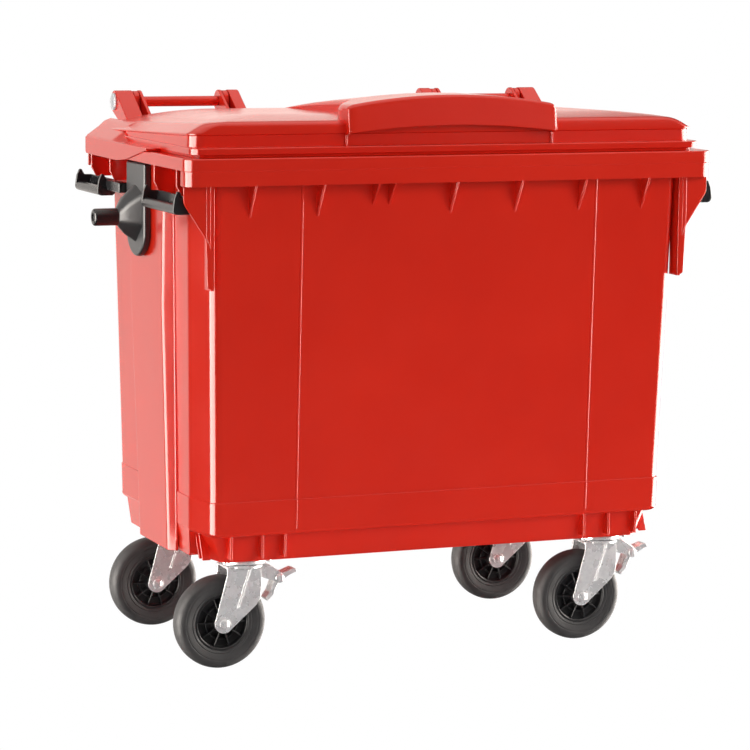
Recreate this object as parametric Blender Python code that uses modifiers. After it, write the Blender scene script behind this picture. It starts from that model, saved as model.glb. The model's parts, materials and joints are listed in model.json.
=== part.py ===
"""Four-wheeled wheelie bin of about 660 litres, in metres, +Z up, front towards -Y.

The origin is on the ground, under the middle of the overall box. The front rim and the hinge
eyes are equally far from it, so the tub's own middle lies a little in front, at TUB_Y.
"""
import math

import bmesh
import bpy
from mathutils import Matrix, Vector

# Driving dimensions
RIM_HALF_X = 0.601  # the rim band is 1202 mm wide
RIM_FRONT = -0.3865
RIM_BACK = 0.335
TUB_Y = 0.5 * (RIM_FRONT + RIM_BACK)
RIM_TOP = 1.0918
RIM_SPLIT = 1.066  # height of the step between the two rim bands
RIM_BOTTOM = 1.035
WALL = 0.0045
FACET = 0.018  # how far the end walls lean in towards the front corners
STEP_Z, STEP_OUT = 0.371, 0.0015  # the lower band of the body stands proud below this height
BASE_Z = 0.2403  # underside of the caster housings
BODY_BOTTOM = 0.296  # lower edge of the drafted body
FLOOR_Z = 0.2460  # top of the floor over the casters
PAN_Z = 0.2263  # lowest part of the tub
DRAIN_Y, DRAIN_R = -0.126, 0.030
GAP = 0.0003  # between parts that rest on each other
PIVOT_Y = 0.361
PIVOT_Z = 1.171
EYE_R = 0.0255
LUG_X = (-0.4705, -0.2585, 0.2585, 0.4705)
LUG_THICK = 0.012
CHEEK_GAP = 0.0015  # between a lug and the lid's cheeks
PIN_R = 0.0072
PIN_CLEARANCE = 0.0006
TRUNNION_Z = 0.945
TRUNNION_TIP_X = 0.680
TRUNNION_R = 0.0185
PLATE_HALF_X, PLATE_HALF_Y = 0.0595, 0.0425  # caster plates of 119 x 85 mm
STUD_X, STUD_Y, STUD_R = 0.049, 0.032, 0.005  # half the stud spacing, and a stud's radius
GRIP_TOP = 1.012  # top of the side grips, under the comb ribs
GRIP_LIP_TOP = 1.0245  # tips of the lips at their ends
GRIP_BAR = (0.6075, 0.9875)  # middle of the grips' bar, as x and z
GRIP_R = 0.0105
PANEL_X = 0.570  # outer face of the raised end panel
PANEL_WALL = 0.005
TRUNNION_FACE_X = 0.586  # flat face of the lifting bracket
TRUNNION_HALF_Y = 0.0625
SWIVEL_X = 0.420
SWIVEL_Y = 0.224
TRAIL = 0.052
WHEEL_R = 0.100
AXLE_R = 0.006
FORK_LEG_Y = 0.0315  # middle of a fork leg
TYRE_STEPS = 28
HUB_STEPS = 16
BORE_SIDES = 12
BRAKE_X = 0.077  # brake pivot, measured from the swivel axis
BRAKE_Z = 0.188
BRAKE_PIN_R = 0.0040
KINGPIN_R = 0.0070
PLATE_LOW, PLATE_HIGH = 0.2358, 0.2400  # faces of the caster plate
LID_TILT = 0.045  # fall of the lid's panel, per metre towards the back
CROWN_TILT = 0.020  # the same for its crowned middle
HOOD_HALF_X, HOOD_TOP, HOOD_ARCH = 0.2385, 1.217, 0.021
VISOR_FRONT, POCKET_BACK = -0.362, -0.322  # front of the hood, and the back of its hand gap
LEDGE_TOP = 1.112  # top of the lid's ledge on the rim
RAMP_BACK = 0.180  # where the hood's long back runs out in the lid's top
X, Y, Z = Vector((1, 0, 0)), Vector((0, 1, 0)), Vector((0, 0, 1))


def collection(name):
    made = bpy.data.collections.new(name)
    bpy.context.scene.collection.children.link(made)
    return made


def material(name, rgb, roughness, metallic=0.0):
    made = bpy.data.materials.new(name)
    made.use_nodes = True
    shader = made.node_tree.nodes["Principled BSDF"]
    shader.inputs["Base Color"].default_value = (*rgb, 1.0)
    shader.inputs["Roughness"].default_value = roughness
    shader.inputs["Metallic"].default_value = metallic
    made.diffuse_color = (*rgb, 1.0)
    return made


for old in list(bpy.data.objects):
    bpy.data.objects.remove(old)
BIN = collection("wheelie_bin")
RED = material("red_plastic", (0.66, 0.03, 0.02), 0.3)
BLACK = material("black_plastic", (0.02, 0.02, 0.02), 0.45)
GREY = material("grey_cap", (0.6, 0.6, 0.6), 0.4)
ZINC = material("zinc", (0.75, 0.76, 0.78), 0.3, 0.9)
RUBBER = material("rubber", (0.045, 0.045, 0.045), 0.7)


# Making and joining solids

def add(name, data):
    made = bpy.data.objects.new(name, data)
    BIN.objects.link(made)
    return made


def to_object(bm, name="tool"):
    bmesh.ops.recalc_face_normals(bm, faces=bm.faces)
    mesh = bpy.data.meshes.new(name)
    bm.to_mesh(mesh)
    bm.free()
    return add(name, mesh)


def frozen(made):
    """Replace an object's data by its evaluated mesh, with curve caps welded."""
    view = bpy.context.evaluated_depsgraph_get()
    view.update()
    mesh = bpy.data.meshes.new_from_object(made.evaluated_get(view))
    bm = bmesh.new()
    bm.from_mesh(mesh)
    bmesh.ops.remove_doubles(bm, verts=bm.verts, dist=1e-5)
    bmesh.ops.recalc_face_normals(bm, faces=bm.faces)
    bm.to_mesh(mesh)
    bm.free()
    result = add(made.name + "_mesh", mesh)
    result.matrix_world = made.matrix_world
    bpy.data.objects.remove(made)
    return result


def settled(made):
    """Move an object's placement into its mesh."""
    made.data.transform(made.matrix_world)
    made.matrix_world = Matrix.Identity(4)
    return made


def boolean(body, tool, operation):
    """Join a tool to a body, or cut it out, and remove the tool."""
    step = body.modifiers.new("step", "BOOLEAN")
    step.operation = operation
    step.object = tool
    step.solver = "EXACT"
    view = bpy.context.evaluated_depsgraph_get()
    view.update()
    mesh = bpy.data.meshes.new_from_object(body.evaluated_get(view))
    body.modifiers.remove(step)
    body.data = mesh
    bpy.data.objects.remove(tool)


def join(body, *tools):
    for tool in tools:
        boolean(body, tool, "UNION")


def cut(body, *tools):
    for tool in tools:
        boolean(body, tool, "DIFFERENCE")


def named(made, name, slot, origin=(0, 0, 0), parent=None):
    """Finish a piece: name, material, and its origin moved to a point without moving the shape."""
    origin = Vector(origin)
    settled(made).data.transform(Matrix.Translation(-origin))
    made.location = origin
    made.name = name
    made.data.name = name
    made.data.materials.clear()
    made.data.materials.append(slot)
    made.data.shade_smooth()
    made.data.set_sharp_from_angle(angle=math.radians(32))
    if parent:
        made.location = origin - parent.location
        made.parent = parent
    return made


def box(low, high):
    bm = bmesh.new()
    bmesh.ops.create_cube(bm, size=1.0)
    low, high = Vector(low), Vector(high)
    size = high - low
    bmesh.ops.scale(bm, vec=size, verts=bm.verts)
    bmesh.ops.translate(bm, vec=(low + high) / 2, verts=bm.verts)
    return to_object(bm)


def cylinder(centre, axis, radius, length, sides):
    bm = bmesh.new()
    bmesh.ops.create_cone(bm, cap_ends=True, segments=sides,
                          radius1=radius, radius2=radius, depth=length)
    turn = Z.rotation_difference(axis).to_matrix().to_4x4()
    bm.transform(Matrix.Translation(centre) @ turn)
    return to_object(bm)


def plate(outline, normal, middle, thickness):
    """A flat outline cut from sheet. Its points are (y, z) for normal X, and (x, z) for normal Y."""
    curve = bpy.data.curves.new("outline", "CURVE")
    curve.dimensions = "2D"
    curve.fill_mode = "BOTH"
    curve.extrude = thickness / 2
    spline = curve.splines.new("POLY")
    spline.points.add(len(outline) - 1)
    for point, (u, v) in zip(spline.points, outline):
        point.co = (u, v, 0, 1)
    spline.use_cyclic_u = True
    made = add("plate", curve)
    if normal == "X":
        made.matrix_world = Matrix(((0, 0, 1, middle), (1, 0, 0, 0), (0, 1, 0, 0), (0, 0, 0, 1)))
    else:
        made.matrix_world = Matrix(((1, 0, 0, 0), (0, 0, -1, middle), (0, 1, 0, 0), (0, 0, 0, 1)))
    return settled(frozen(made))


def turned(profile, steps, centre, axis):
    """A profile of (radius, height) points, outer side first and downwards, turned about an axis.

    A profile that ends on the axis stays open there, and any other is closed into a ring.
    """
    bm = bmesh.new()
    verts = [bm.verts.new((radius, 0, height)) for radius, height in profile]
    for first, second in zip(verts, verts[1:]):
        bm.edges.new((first, second))
    if profile[-1][0] > 0:
        bm.edges.new((verts[-1], verts[0]))
    mesh = bpy.data.meshes.new("profile")
    bm.to_mesh(mesh)
    bm.free()
    made = add("turned", mesh)
    screw = made.modifiers.new("turn", "SCREW")
    screw.steps = steps
    screw.render_steps = steps
    screw.use_merge_vertices = True
    screw.merge_threshold = 1e-5
    half_step = Matrix.Rotation(math.pi / steps, 4, "Z")
    turn = Z.rotation_difference(axis).to_matrix().to_4x4()
    made.matrix_world = Matrix.Translation(centre) @ turn @ half_step
    return settled(frozen(made))


def mirrored(side, points):
    """The same outline on the left (-1) or the right (1) of the bin."""
    return [(side * x, z) for x, z in points]


def arc(centre, radius, start, end, count):
    """Points of an arc in a plane, angles in degrees."""
    points = []
    for index in range(count):
        angle = math.radians(start + (end - start) * index / (count - 1))
        points.append((centre[0] + radius * math.cos(angle), centre[1] + radius * math.sin(angle)))
    return points


def loft(rings):
    """A closed solid through rings of equally many points, with flat ends."""
    bm = bmesh.new()
    rows = [[bm.verts.new(point) for point in ring] for ring in rings]
    count = len(rows[0])
    for lower, upper in zip(rows, rows[1:]):
        for index in range(count):
            after = (index + 1) % count
            bm.faces.new((lower[index], lower[after], upper[after], upper[index]))
    bm.faces.new(rows[0])
    bm.faces.new(rows[-1])
    return to_object(bm)


# Plan outline shared by the tub and the lid

def section(z, half_x, front, back, front_r, back_r, facet=0.0, tilt=0.0, lowest=0.0):
    """Ring round the bin at height z.

    The facet is how far the side leans in near the front corner. The tilt is the ring's fall for
    each metre towards the back, and it ends at the lowest height.
    """
    reach = 0.125 if facet else 0.020
    lean = math.degrees(math.atan2(facet, reach))
    corner_x = half_x - facet - front_r * math.cos(math.radians(lean))
    right = arc((corner_x, front + front_r), front_r, -90, -lean, 5)
    right.append((half_x, front + front_r + reach))
    right += arc((half_x - back_r, back - back_r), back_r, 0, 90, 5)
    left = [(-x, y) for x, y in reversed(right)]
    ring = []
    for x, y in right + left:
        ring.append((x, y, max(z - tilt * (y - RIM_FRONT - 0.05), lowest)))
    return ring


def tub_wall(z):
    """Half width, front and back of the drafted wall's outer face at height z."""
    t = (z - BODY_BOTTOM) / (RIM_BOTTOM - BODY_BOTTOM)
    return 0.537 + 0.016 * t, -0.3165 - 0.0285 * t, 0.2745 + 0.0195 * t


def wall_section(z, inset):
    half_x, front, back = tub_wall(z)
    return section(z, half_x - inset, front + inset, back - inset, 0.024, 0.045 - inset, FACET)


def rim_section(z, inset):
    return section(z, RIM_HALF_X - inset, RIM_FRONT + inset, RIM_BACK - inset,
                   0.030 - inset, 0.045 - inset)


# Tub

def tub_shell():
    """Outside from the base up, over the rim, and down the inside to the floor."""
    base_low = section(BASE_Z, 0.507, -0.283, 0.2685, 0.020, 0.040, FACET)
    base_high = section(BODY_BOTTOM - 0.002, 0.525, -0.292, 0.2690, 0.020, 0.040, FACET)
    inner_high = section(BODY_BOTTOM + 0.003, 0.5205, -0.2875, 0.2645, 0.018, 0.038, FACET)
    inner_low = section(FLOOR_Z, 0.5035, -0.2795, 0.2640, 0.018, 0.038, FACET)
    return loft([
        base_low,
        base_high,
        wall_section(BODY_BOTTOM, 0.004),
        wall_section(BODY_BOTTOM + 0.007, -STEP_OUT),
        wall_section(STEP_Z - 0.005, -STEP_OUT),
        wall_section(STEP_Z, 0.0),
        wall_section(RIM_BOTTOM, 0.0),
        wall_section(RIM_TOP - 0.0055, 0.0),
        rim_section(RIM_TOP - 0.0055, 0.0065),
        rim_section(RIM_BOTTOM, 0.0065),
        rim_section(RIM_BOTTOM, 0.0015),
        rim_section(RIM_SPLIT - 0.0005, 0.0015),
        rim_section(RIM_SPLIT + 0.0015, 0.0),
        rim_section(RIM_TOP - 0.003, 0.0),
        rim_section(RIM_TOP, 0.003),
        wall_section(RIM_TOP, WALL),
        wall_section(STEP_Z, WALL),
        wall_section(BODY_BOTTOM + 0.007, WALL - 0.001),
        inner_high,
        inner_low,
    ])


def end_panel(side, inset):
    """Raised panel in the middle of an end wall, or with an inset the hollow behind it.

    The hollow opens into the tub, so it ends above the body's lower edge.
    """
    lean = 0.014
    low = (BODY_BOTTOM + 0.009, 0.555, 0.1112) if inset else (BASE_Z - 0.001, 0.553, 0.110)
    rows = []
    for z, outer, half_y in (low, (0.770, PANEL_X, 0.120), (RIM_BOTTOM + 0.002, PANEL_X, 0.130)):
        wall = tub_wall(max(z, BODY_BOTTOM))[0]
        half = half_y - inset
        inner = wall - 0.002 - inset
        rows.append([
            (side * inner, TUB_Y - half, z),
            (side * (wall - inset), TUB_Y - half, z),
            (side * (outer - inset), TUB_Y - half + lean, z),
            (side * (outer - inset), TUB_Y + half - lean, z),
            (side * (wall - inset), TUB_Y + half, z),
            (side * inner, TUB_Y + half, z),
        ])
    return loft(rows)


def gusset(x, foot, edge_y):
    """Triangular rib from the wall up to the rim skirt, on the front or the back."""
    wall_y = tub_wall(foot)[1] + 0.002 if edge_y < 0 else tub_wall(foot)[2] - 0.002
    outer = edge_y + 0.004 if edge_y < 0 else edge_y - 0.004
    top = RIM_TOP - 0.002
    return plate([(wall_y, foot), (outer, RIM_BOTTOM + 0.001), (outer, top), (wall_y, top)], "X", x, 0.005)


def comb_rib(side, y):
    """Vertical rib that closes the end recess of the rim and carries a side grip."""
    low = GRIP_TOP + GAP
    top = RIM_TOP - 0.002
    outline = [(0.550, low), (0.587, low), (0.5985, low + 0.020), (0.5985, top), (0.550, top)]
    return plate(mirrored(side, outline), "Y", y, 0.006)


def corner_fin(side):
    """Flange in the plane of the front wall, from the rim down past the corner, and its root."""
    low, high = 0.820, RIM_TOP - 0.002
    outline = [(0.520, low), (0.552, low + 0.006), (0.554, 0.925),
               (0.600, 0.992), (0.600, high), (0.520, high)]
    fin = plate(mirrored(side, outline), "Y", -0.3575, 0.005)
    root_top = RIM_BOTTOM + 0.005
    root = [(0.520, low), (0.542, low), (0.542, root_top), (0.520, root_top)]
    join(fin, plate(mirrored(side, root), "Y", -0.34075, 0.0375))
    return fin


def hinge_lug(x):
    """Ear on the back of the rim that carries the hinge pin."""
    eye = arc((PIVOT_Y, PIVOT_Z), EYE_R - 0.0015, 150, -60, 8)
    front = [(0.322, RIM_TOP - 0.002), (0.334, 1.145)]
    back = [(0.352, 1.100), (0.332, 1.060), (0.322, 1.060)]
    return plate(front + eye + back, "X", x, LUG_THICK)


def base_pan(inset, high):
    """Lower middle of the floor, between the caster housings, or with an inset its hollow."""
    return box((-0.302 + inset, -0.235 + inset, PAN_Z + inset), (0.302 - inset, 0.205 - inset, high))


def housing_rib(x, side_y):
    """Upright rib in the recess under the body's lower edge."""
    front, back = (-0.309, -0.280) if side_y < 0 else (0.262, 0.2725)
    return box((x - 0.0025, front, BASE_Z + 0.006), (x + 0.0025, back, BODY_BOTTOM + 0.003))


def stud_points():
    for sx in (-1, 1):
        for sy in (-1, 1):
            for dx in (-STUD_X, STUD_X):
                for dy in (-STUD_Y, STUD_Y):
                    yield sx * SWIVEL_X + dx, sy * SWIVEL_Y + dy


def make_tub():
    tub = tub_shell()
    join(tub, base_pan(0.0, FLOOR_Z - 0.002))
    cut(tub, base_pan(0.005, FLOOR_Z + 0.016))
    for side in (-1, 1):
        join(tub, end_panel(side, 0.0))
        cut(tub, end_panel(side, PANEL_WALL))
        near, far = sorted((side * 0.5905, side * 0.612))
        cut(tub, box((near, TUB_Y - 0.315, RIM_BOTTOM - 0.004), (far, TUB_Y + 0.315, RIM_SPLIT)))
        join(tub, corner_fin(side))
        for y in (-0.310, -0.165, 0.140, 0.275):
            join(tub, comb_rib(side, y))
    for x in (-0.45, -0.30, 0.0, 0.15, 0.30, 0.45):
        join(tub, gusset(x, 0.963, RIM_FRONT))
    for x in (-0.176, -0.140):
        join(tub, gusset(x, 0.985, RIM_FRONT))
    for x in (-0.36, -0.12, 0.12, 0.36):
        join(tub, gusset(x, 0.963, RIM_BACK))
    for x in LUG_X:
        join(tub, hinge_lug(x))
    for x in (-0.475, -0.405, -0.355, 0.345, 0.405, 0.470):
        for side_y in (-1, 1):
            join(tub, housing_rib(x, side_y))
    for x, y in stud_points():
        cut(tub, cylinder((x, y, FLOOR_Z), Z, STUD_R + 0.0006, 0.03, 8))
    cut(tub, cylinder((0, DRAIN_Y, PAN_Z), Z, DRAIN_R, 0.03, 20))
    cut(tub, cylinder((0, PIVOT_Y, PIVOT_Z), X, PIN_R + PIN_CLEARANCE, 1.2, BORE_SIDES))
    return named(tub, "tub", RED)


# Lid

def lid_shell():
    """From the underside out and down to the lip, round the ledge, and up to the crowned top."""
    def part(z, inset, tilt=LID_TILT, lowest=0.0, front_r=0.030):
        return section(z, RIM_HALF_X - inset, RIM_FRONT + inset, RIM_BACK - inset,
                       front_r, 0.040, 0, tilt, lowest)
    return loft([
        part(1.1650, 0.190, CROWN_TILT),
        part(1.1580, 0.100, 0.035),
        part(1.1480, 0.059, lowest=1.112),
        wall_section(1.1040, WALL + 0.0075),
        wall_section(1.0790, WALL + 0.0065),
        wall_section(1.0790, WALL + 0.0030),
        wall_section(RIM_TOP + GAP, WALL + 0.0030),
        part(RIM_TOP + GAP, 0.0300, 0),
        part(1.0980, 0.0290, 0),
        part(1.0985, 0.0205, 0),
        part(LEDGE_TOP - 0.0015, 0.0200, 0),
        part(LEDGE_TOP, 0.0520, 0),
        part(1.1360, 0.0530, lowest=1.1160),
        part(1.1375, 0.0480, lowest=1.1170),
        part(1.1530, 0.0480, lowest=1.1230),
        part(1.1600, 0.0530, front_r=0.034),
        part(1.1640, 0.0630, front_r=0.038),
        part(1.1700, 0.1000, 0.035),
        part(1.1750, 0.1900, CROWN_TILT),
    ])


def arched(half, top, arch):
    """Top of a section across the hood, from right to left."""
    points = []
    for share in (1.0, 0.6, 0.2, -0.2, -0.6, -1.0):
        points.append((share * half, top - arch * (share * half / HOOD_HALF_X) ** 2))
    return points


def visor(inset, front, back, low, rise):
    """Arched front of the hood over the hand gap, or with an inset the hollow inside it."""
    half = HOOD_HALF_X - inset
    top = arched(half, HOOD_TOP - inset, HOOD_ARCH)
    bottom = []
    for share in (-1.0, -0.6, 0.6, 1.0):
        bottom.append((share * half, low + rise * (1 - (share * half / HOOD_HALF_X) ** 2)))
    return plate(bottom + top, "Y", (front + back) / 2, back - front)


def hood_back(inset, front, drop):
    """The hood behind its visor, narrowing and then falling as a ramp, or its hollow.

    The drop is how far the section's lower edge lies under the lid's skin.
    """
    step = 0.001  # below the visor
    rows = []
    for y, half, low, top, arch in (
        (front, HOOD_HALF_X, 1.140, HOOD_TOP, HOOD_ARCH),
        (-0.290, HOOD_HALF_X, 1.160, HOOD_TOP, HOOD_ARCH),
        (-0.230, 0.190, 1.166, HOOD_TOP, HOOD_ARCH),
        (RAMP_BACK - inset, 0.186, 1.156, 1.164, 0.0),
    ):
        half -= inset
        low -= drop
        ring = [(-half, y, low), (half, y, low)]
        ring += [(x, y, z) for x, z in arched(half, top - step - inset, arch)]
        rows.append(ring)
    return loft(rows)


def side_wing(side):
    """Flange over the rim's rear half and the fairing that slopes from it up to the panel."""
    skin = [(0.300, 1.062), (0.200, 1.061), (0.080, 1.060), (0.010, 1.066),
            (-0.130, 1.0945), (-0.130, 1.0985), (0.300, 1.0985)]
    wing = plate(skin, "X", side * 0.6032, 0.0024)
    top = RIM_TOP + GAP + 0.004
    rows = []
    for y, rise in ((-0.130, 0.0), (0.050, 0.004), (0.115, 0.040), (0.300, 0.040)):
        rows.append([
            (side * 0.545, y, top - 0.0035),
            (side * 0.6040, y, top - 0.0035),
            (side * 0.6040, y, top + 0.0015),
            (side * 0.575, y, top + 0.0020 + 0.5 * rise),
            (side * 0.545, y, top + 0.0030 + rise),
        ])
    join(wing, loft(rows))
    return wing


def hinge_cheek(low_x, high_x):
    """Arm of the lid on one side of a lug."""
    eye = arc((PIVOT_Y, PIVOT_Z), EYE_R, 120, -60, 7)
    outline = [(0.255, 1.118), (0.2666, 1.1364)] + eye + [(0.325, 1.128), (0.305, 1.118)]
    return plate(outline, "X", (low_x + high_x) / 2, high_x - low_x)


def make_lid():
    lid = lid_shell()
    wall = 0.005
    pocket_half_x = HOOD_HALF_X - 0.0005
    join(lid, box((-pocket_half_x, -0.3400, 1.107), (pocket_half_x, POCKET_BACK + 0.006, 1.160)))
    join(lid, visor(0.0, VISOR_FRONT, POCKET_BACK, 1.138, 0.015))
    join(lid, hood_back(0.0, POCKET_BACK - 0.008, 0.0))
    cut(lid, visor(wall, VISOR_FRONT + wall, POCKET_BACK, LEDGE_TOP + 0.0005, 0.0010))
    cut(lid, hood_back(0.006, POCKET_BACK + wall, 0.030))
    near = LUG_THICK / 2 + CHEEK_GAP
    for side in (-1, 1):
        join(lid, side_wing(side))
        for lug, way, width in ((LUG_X[3], 1, 0.0400), (LUG_X[3], -1, 0.0070),
                                (LUG_X[2], -1, 0.0255), (LUG_X[2], 1, 0.0070)):
            ends = sorted((side * (lug + way * near), side * (lug + way * (near + width))))
            join(lid, hinge_cheek(*ends))
    cut(lid, cylinder((0, PIVOT_Y, PIVOT_Z), X, PIN_R + PIN_CLEARANCE, 1.2, BORE_SIDES))
    return named(lid, "lid", RED, (0, PIVOT_Y, PIVOT_Z))


# Hinge pins, caps and rear handle bars

def make_hinge(side, word):
    outer = side * 0.5225
    inner = side * 0.2260
    pin = cylinder(((outer + inner) / 2, PIVOT_Y, PIVOT_Z), X, PIN_R, abs(outer - inner), BORE_SIDES)
    named(pin, "hinge_pin_" + word, ZINC)
    bore = PIN_R + PIN_CLEARANCE
    dish = [(0.0, 0.0062), (0.0120, 0.0055), (0.0195, 0.0030), (0.0195, 0.0),
            (bore, 0.0), (bore, 0.0042), (0.0, 0.0042)]
    cap = turned(dish, 20, (side * 0.5185, PIVOT_Y, PIVOT_Z), side * X)
    named(cap, "hinge_cap_" + word, GREY)
    half = 0.0905
    wall = [(0.0115, half), (0.0115, -half), (bore, -half), (bore, half)]
    tube = turned(wall, 16, (side * (LUG_X[2] + LUG_X[3]) / 2, PIVOT_Y, PIVOT_Z), X)
    named(tube, "rear_handle_" + word, RED)


# Trunnion bracket with its lifting pin

def make_trunnion(side, word):
    half, low, top = TRUNNION_HALF_Y, 0.925, 1.062
    back, face, crest = PANEL_X + GAP, TRUNNION_FACE_X, 0.628
    outline = [(half, low), (half, top), (-half, top), (-half, low)]
    outline += arc((0, low), 0.0655, -163, -17, 9)
    bracket = plate(outline, "X", side * (back + face) / 2, face - back)
    foot = [(-0.055, 1.000), (-0.055, 0.928), (0.0, 0.884), (0.055, 0.928), (0.055, 1.000), (0.0, 1.018)]
    crown = [(-0.022, 0.955), (-0.022, 0.937), (0.0, 0.925), (0.022, 0.937), (0.022, 0.955), (0.0, 0.967)]
    join(bracket, loft([
        [(side * (face - 0.002), y, z) for y, z in foot],
        [(side * crest, y, z) for y, z in crown],
    ]))
    reach = 0.045
    pin = [(0.0, reach), (TRUNNION_R - 0.002, reach), (TRUNNION_R, reach - 0.002),
           (TRUNNION_R, -reach), (0.0, -reach)]
    join(bracket, turned(pin, 20, (side * (TRUNNION_TIP_X - reach), 0, TRUNNION_Z), side * X))
    named(bracket, "trunnion_" + word, BLACK)


# Side grips

def grip_scoop(side, low_y, high_y):
    """Scoop-shaped grip: a J section along the end wall with a raised lip at each end."""
    low = GRIP_BAR[1] - GRIP_R
    back = [(0.5775, GRIP_TOP), (0.5775, low + 0.0050), (0.5830, low)]
    inside = [(0.6010, 0.9860), (0.5870, 0.9860), (0.5825, GRIP_TOP)]
    hook = back + arc(GRIP_BAR, GRIP_R, -90, 90, 8) + inside
    grip = plate(mirrored(side, hook), "Y", (low_y + high_y) / 2, high_y - low_y)
    lip = back + arc(GRIP_BAR, GRIP_R, -90, 0, 5) + [(0.6155, 1.0080), (0.6070, GRIP_LIP_TOP),
                                                      (0.6015, GRIP_LIP_TOP)]
    for y in (low_y + 0.0025, high_y - 0.0025):
        join(grip, plate(mirrored(side, lip), "Y", y, 0.005))
    return grip


def make_grips(side, word):
    """The front and the rear grip, and the rear one's foot that reaches towards the bracket."""
    front = grip_scoop(side, -0.350, -0.140)
    named(front, "side_grip_front_" + word, BLACK)
    rear = grip_scoop(side, 0.165, RIM_BACK)
    near, far = sorted((side * 0.5775, side * 0.600))
    join(rear, box((near, 0.070, 0.989), (far, 0.168, GRIP_TOP)))
    named(rear, "side_grip_rear_" + word, BLACK)


# Casters

def leg_outline():
    """Fork leg seen from the front, x from the swivel axis."""
    boss = arc((-TRAIL, WHEEL_R), 0.0205, 172, 320, 9)
    rear = [(0.020, 0.136), (0.029, 0.150), (0.032, 0.176), (0.030, 0.2190)]
    return [(-0.045, 0.2190), (-0.045, 0.2050)] + boss + rear


def brake_bore():
    return cylinder((BRAKE_X, 0, BRAKE_Z), Y, BRAKE_PIN_R + 0.0006, 0.06, BORE_SIDES)


def fork(braked):
    body = box((-0.045, -0.0335, 0.2170), (0.030, 0.0335, 0.2212))
    join(body, cylinder((0, 0, 0.2191), Z, 0.044, 0.0040, 20))
    for y in (-FORK_LEG_Y, FORK_LEG_Y):
        join(body, plate(leg_outline(), "Y", y, 0.0040))
    if braked:
        ear = [(0.020, 0.2200), (0.052, 0.2200), (0.080, 0.2010), (0.087, 0.1930),
               (0.087, 0.1830), (0.077, 0.1780), (0.030, 0.1950), (0.020, 0.2000)]
        join(body, box((0.015, -0.0195, 0.2172), (0.050, 0.0195, 0.2209)))
        for y in (-0.0180, 0.0180):
            join(body, plate(ear, "Y", y, 0.003))
        cut(body, brake_bore())
    cut(body, cylinder((0, 0, 0.218), Z, KINGPIN_R + 0.0008, 0.02, BORE_SIDES))
    cut(body, cylinder((-TRAIL, 0, WHEEL_R), Y, AXLE_R + 0.0006, 0.09, BORE_SIDES))
    return body


def caster_plate():
    body = box((-PLATE_HALF_X, -PLATE_HALF_Y, PLATE_LOW), (PLATE_HALF_X, PLATE_HALF_Y, PLATE_HIGH))
    cut(body, cylinder((0, 0, PLATE_LOW), Z, KINGPIN_R + 0.0004, 0.02, BORE_SIDES))
    for dx in (-STUD_X, STUD_X):
        for dy in (-STUD_Y, STUD_Y):
            cut(body, cylinder((dx, dy, PLATE_LOW), Z, STUD_R + 0.0006, 0.02, 8))
    return body


def swivel_race():
    high, low = PLATE_LOW - GAP, 0.2216
    race = [(0.0450, high), (0.0520, 0.2315), (0.0520, 0.2285), (0.0480, 0.2240), (0.0465, low),
            (0.0082, low), (0.0082, high)]
    return turned(race, 20, (0, 0, 0), Z)


def kingpin():
    top, head_top, head_low = PLATE_HIGH - 0.0005, 0.2166, 0.2105
    shank = [(0.0, top), (KINGPIN_R, top), (KINGPIN_R, head_top),
             (0.0120, head_top), (0.0120, head_low), (0.0, head_low)]
    return turned(shank, BORE_SIDES, (0, 0, 0), Z)


def stud_plate():
    body = box((-0.0545, -0.0375, FLOOR_Z + GAP), (0.0545, 0.0375, FLOOR_Z + 0.0040))
    for dx in (-STUD_X, STUD_X):
        for dy in (-STUD_Y, STUD_Y):
            join(body, cylinder((dx, dy, PLATE_HIGH - 0.0015), Z, STUD_R, 0.0200, 8))
    return body


def axle():
    """Bolt with a round head on the front side."""
    half = 0.0345
    tail = -half - 0.009
    profile = [(0.0, half + 0.006), (0.0075, half + 0.006), (0.0105, half + 0.003), (0.0105, half),
               (AXLE_R, half), (AXLE_R, tail), (0.0, tail)]
    return turned(profile, BORE_SIDES, (-TRAIL, 0, WHEEL_R), -Y)


def axle_nut():
    inner = (AXLE_R + 0.0002) / math.cos(math.pi / 6)
    profile = [(0.0105, 0.0405), (0.0105, 0.0338), (inner, 0.0338), (inner, 0.0405)]
    return turned(profile, 6, (-TRAIL, 0, WHEEL_R), Y)


def wheel_hub():
    bore = AXLE_R + 0.0005
    profile = [(0.0600, 0.021), (0.0600, -0.021), (0.0535, -0.021), (0.0520, -0.006),
               (0.0230, -0.006), (0.0200, -0.0275), (bore, -0.0275), (bore, 0.0275),
               (0.0200, 0.0275), (0.0230, 0.006), (0.0520, 0.006), (0.0535, 0.021)]
    return turned(profile, HUB_STEPS, (-TRAIL, 0, WHEEL_R), Y)


def tyre():
    """Solid tyre. Its flats, not its corners, are at the wheel's radius, so it stands on one."""
    grow = 1.0 / math.cos(math.pi / TYRE_STEPS)
    profile = [(0.0945, 0.021), (0.1000, 0.013), (0.1000, -0.013), (0.0945, -0.021),
               (0.0830, -0.025), (0.0610, -0.0205), (0.0610, 0.0205), (0.0830, 0.025)]
    grown = [(radius * grow, height) for radius, height in profile]
    return turned(grown, TYRE_STEPS, (-TRAIL, 0, WHEEL_R), Y)


def brake_pedal():
    tread = [(0.070, 0.1965), (0.090, 0.1985), (0.110, 0.2060), (0.118, 0.2040), (0.119, 0.1990)]
    shoe = [(0.066, 0.1520), (0.052, 0.1380), (0.047, 0.1440), (0.058, 0.1580), (0.067, 0.1830)]
    body = plate(tread + [(0.102, 0.1920), (0.086, 0.1820), (0.077, 0.1780)] + shoe, "Y", 0.0, 0.030)
    cut(body, brake_bore())
    return body


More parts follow.
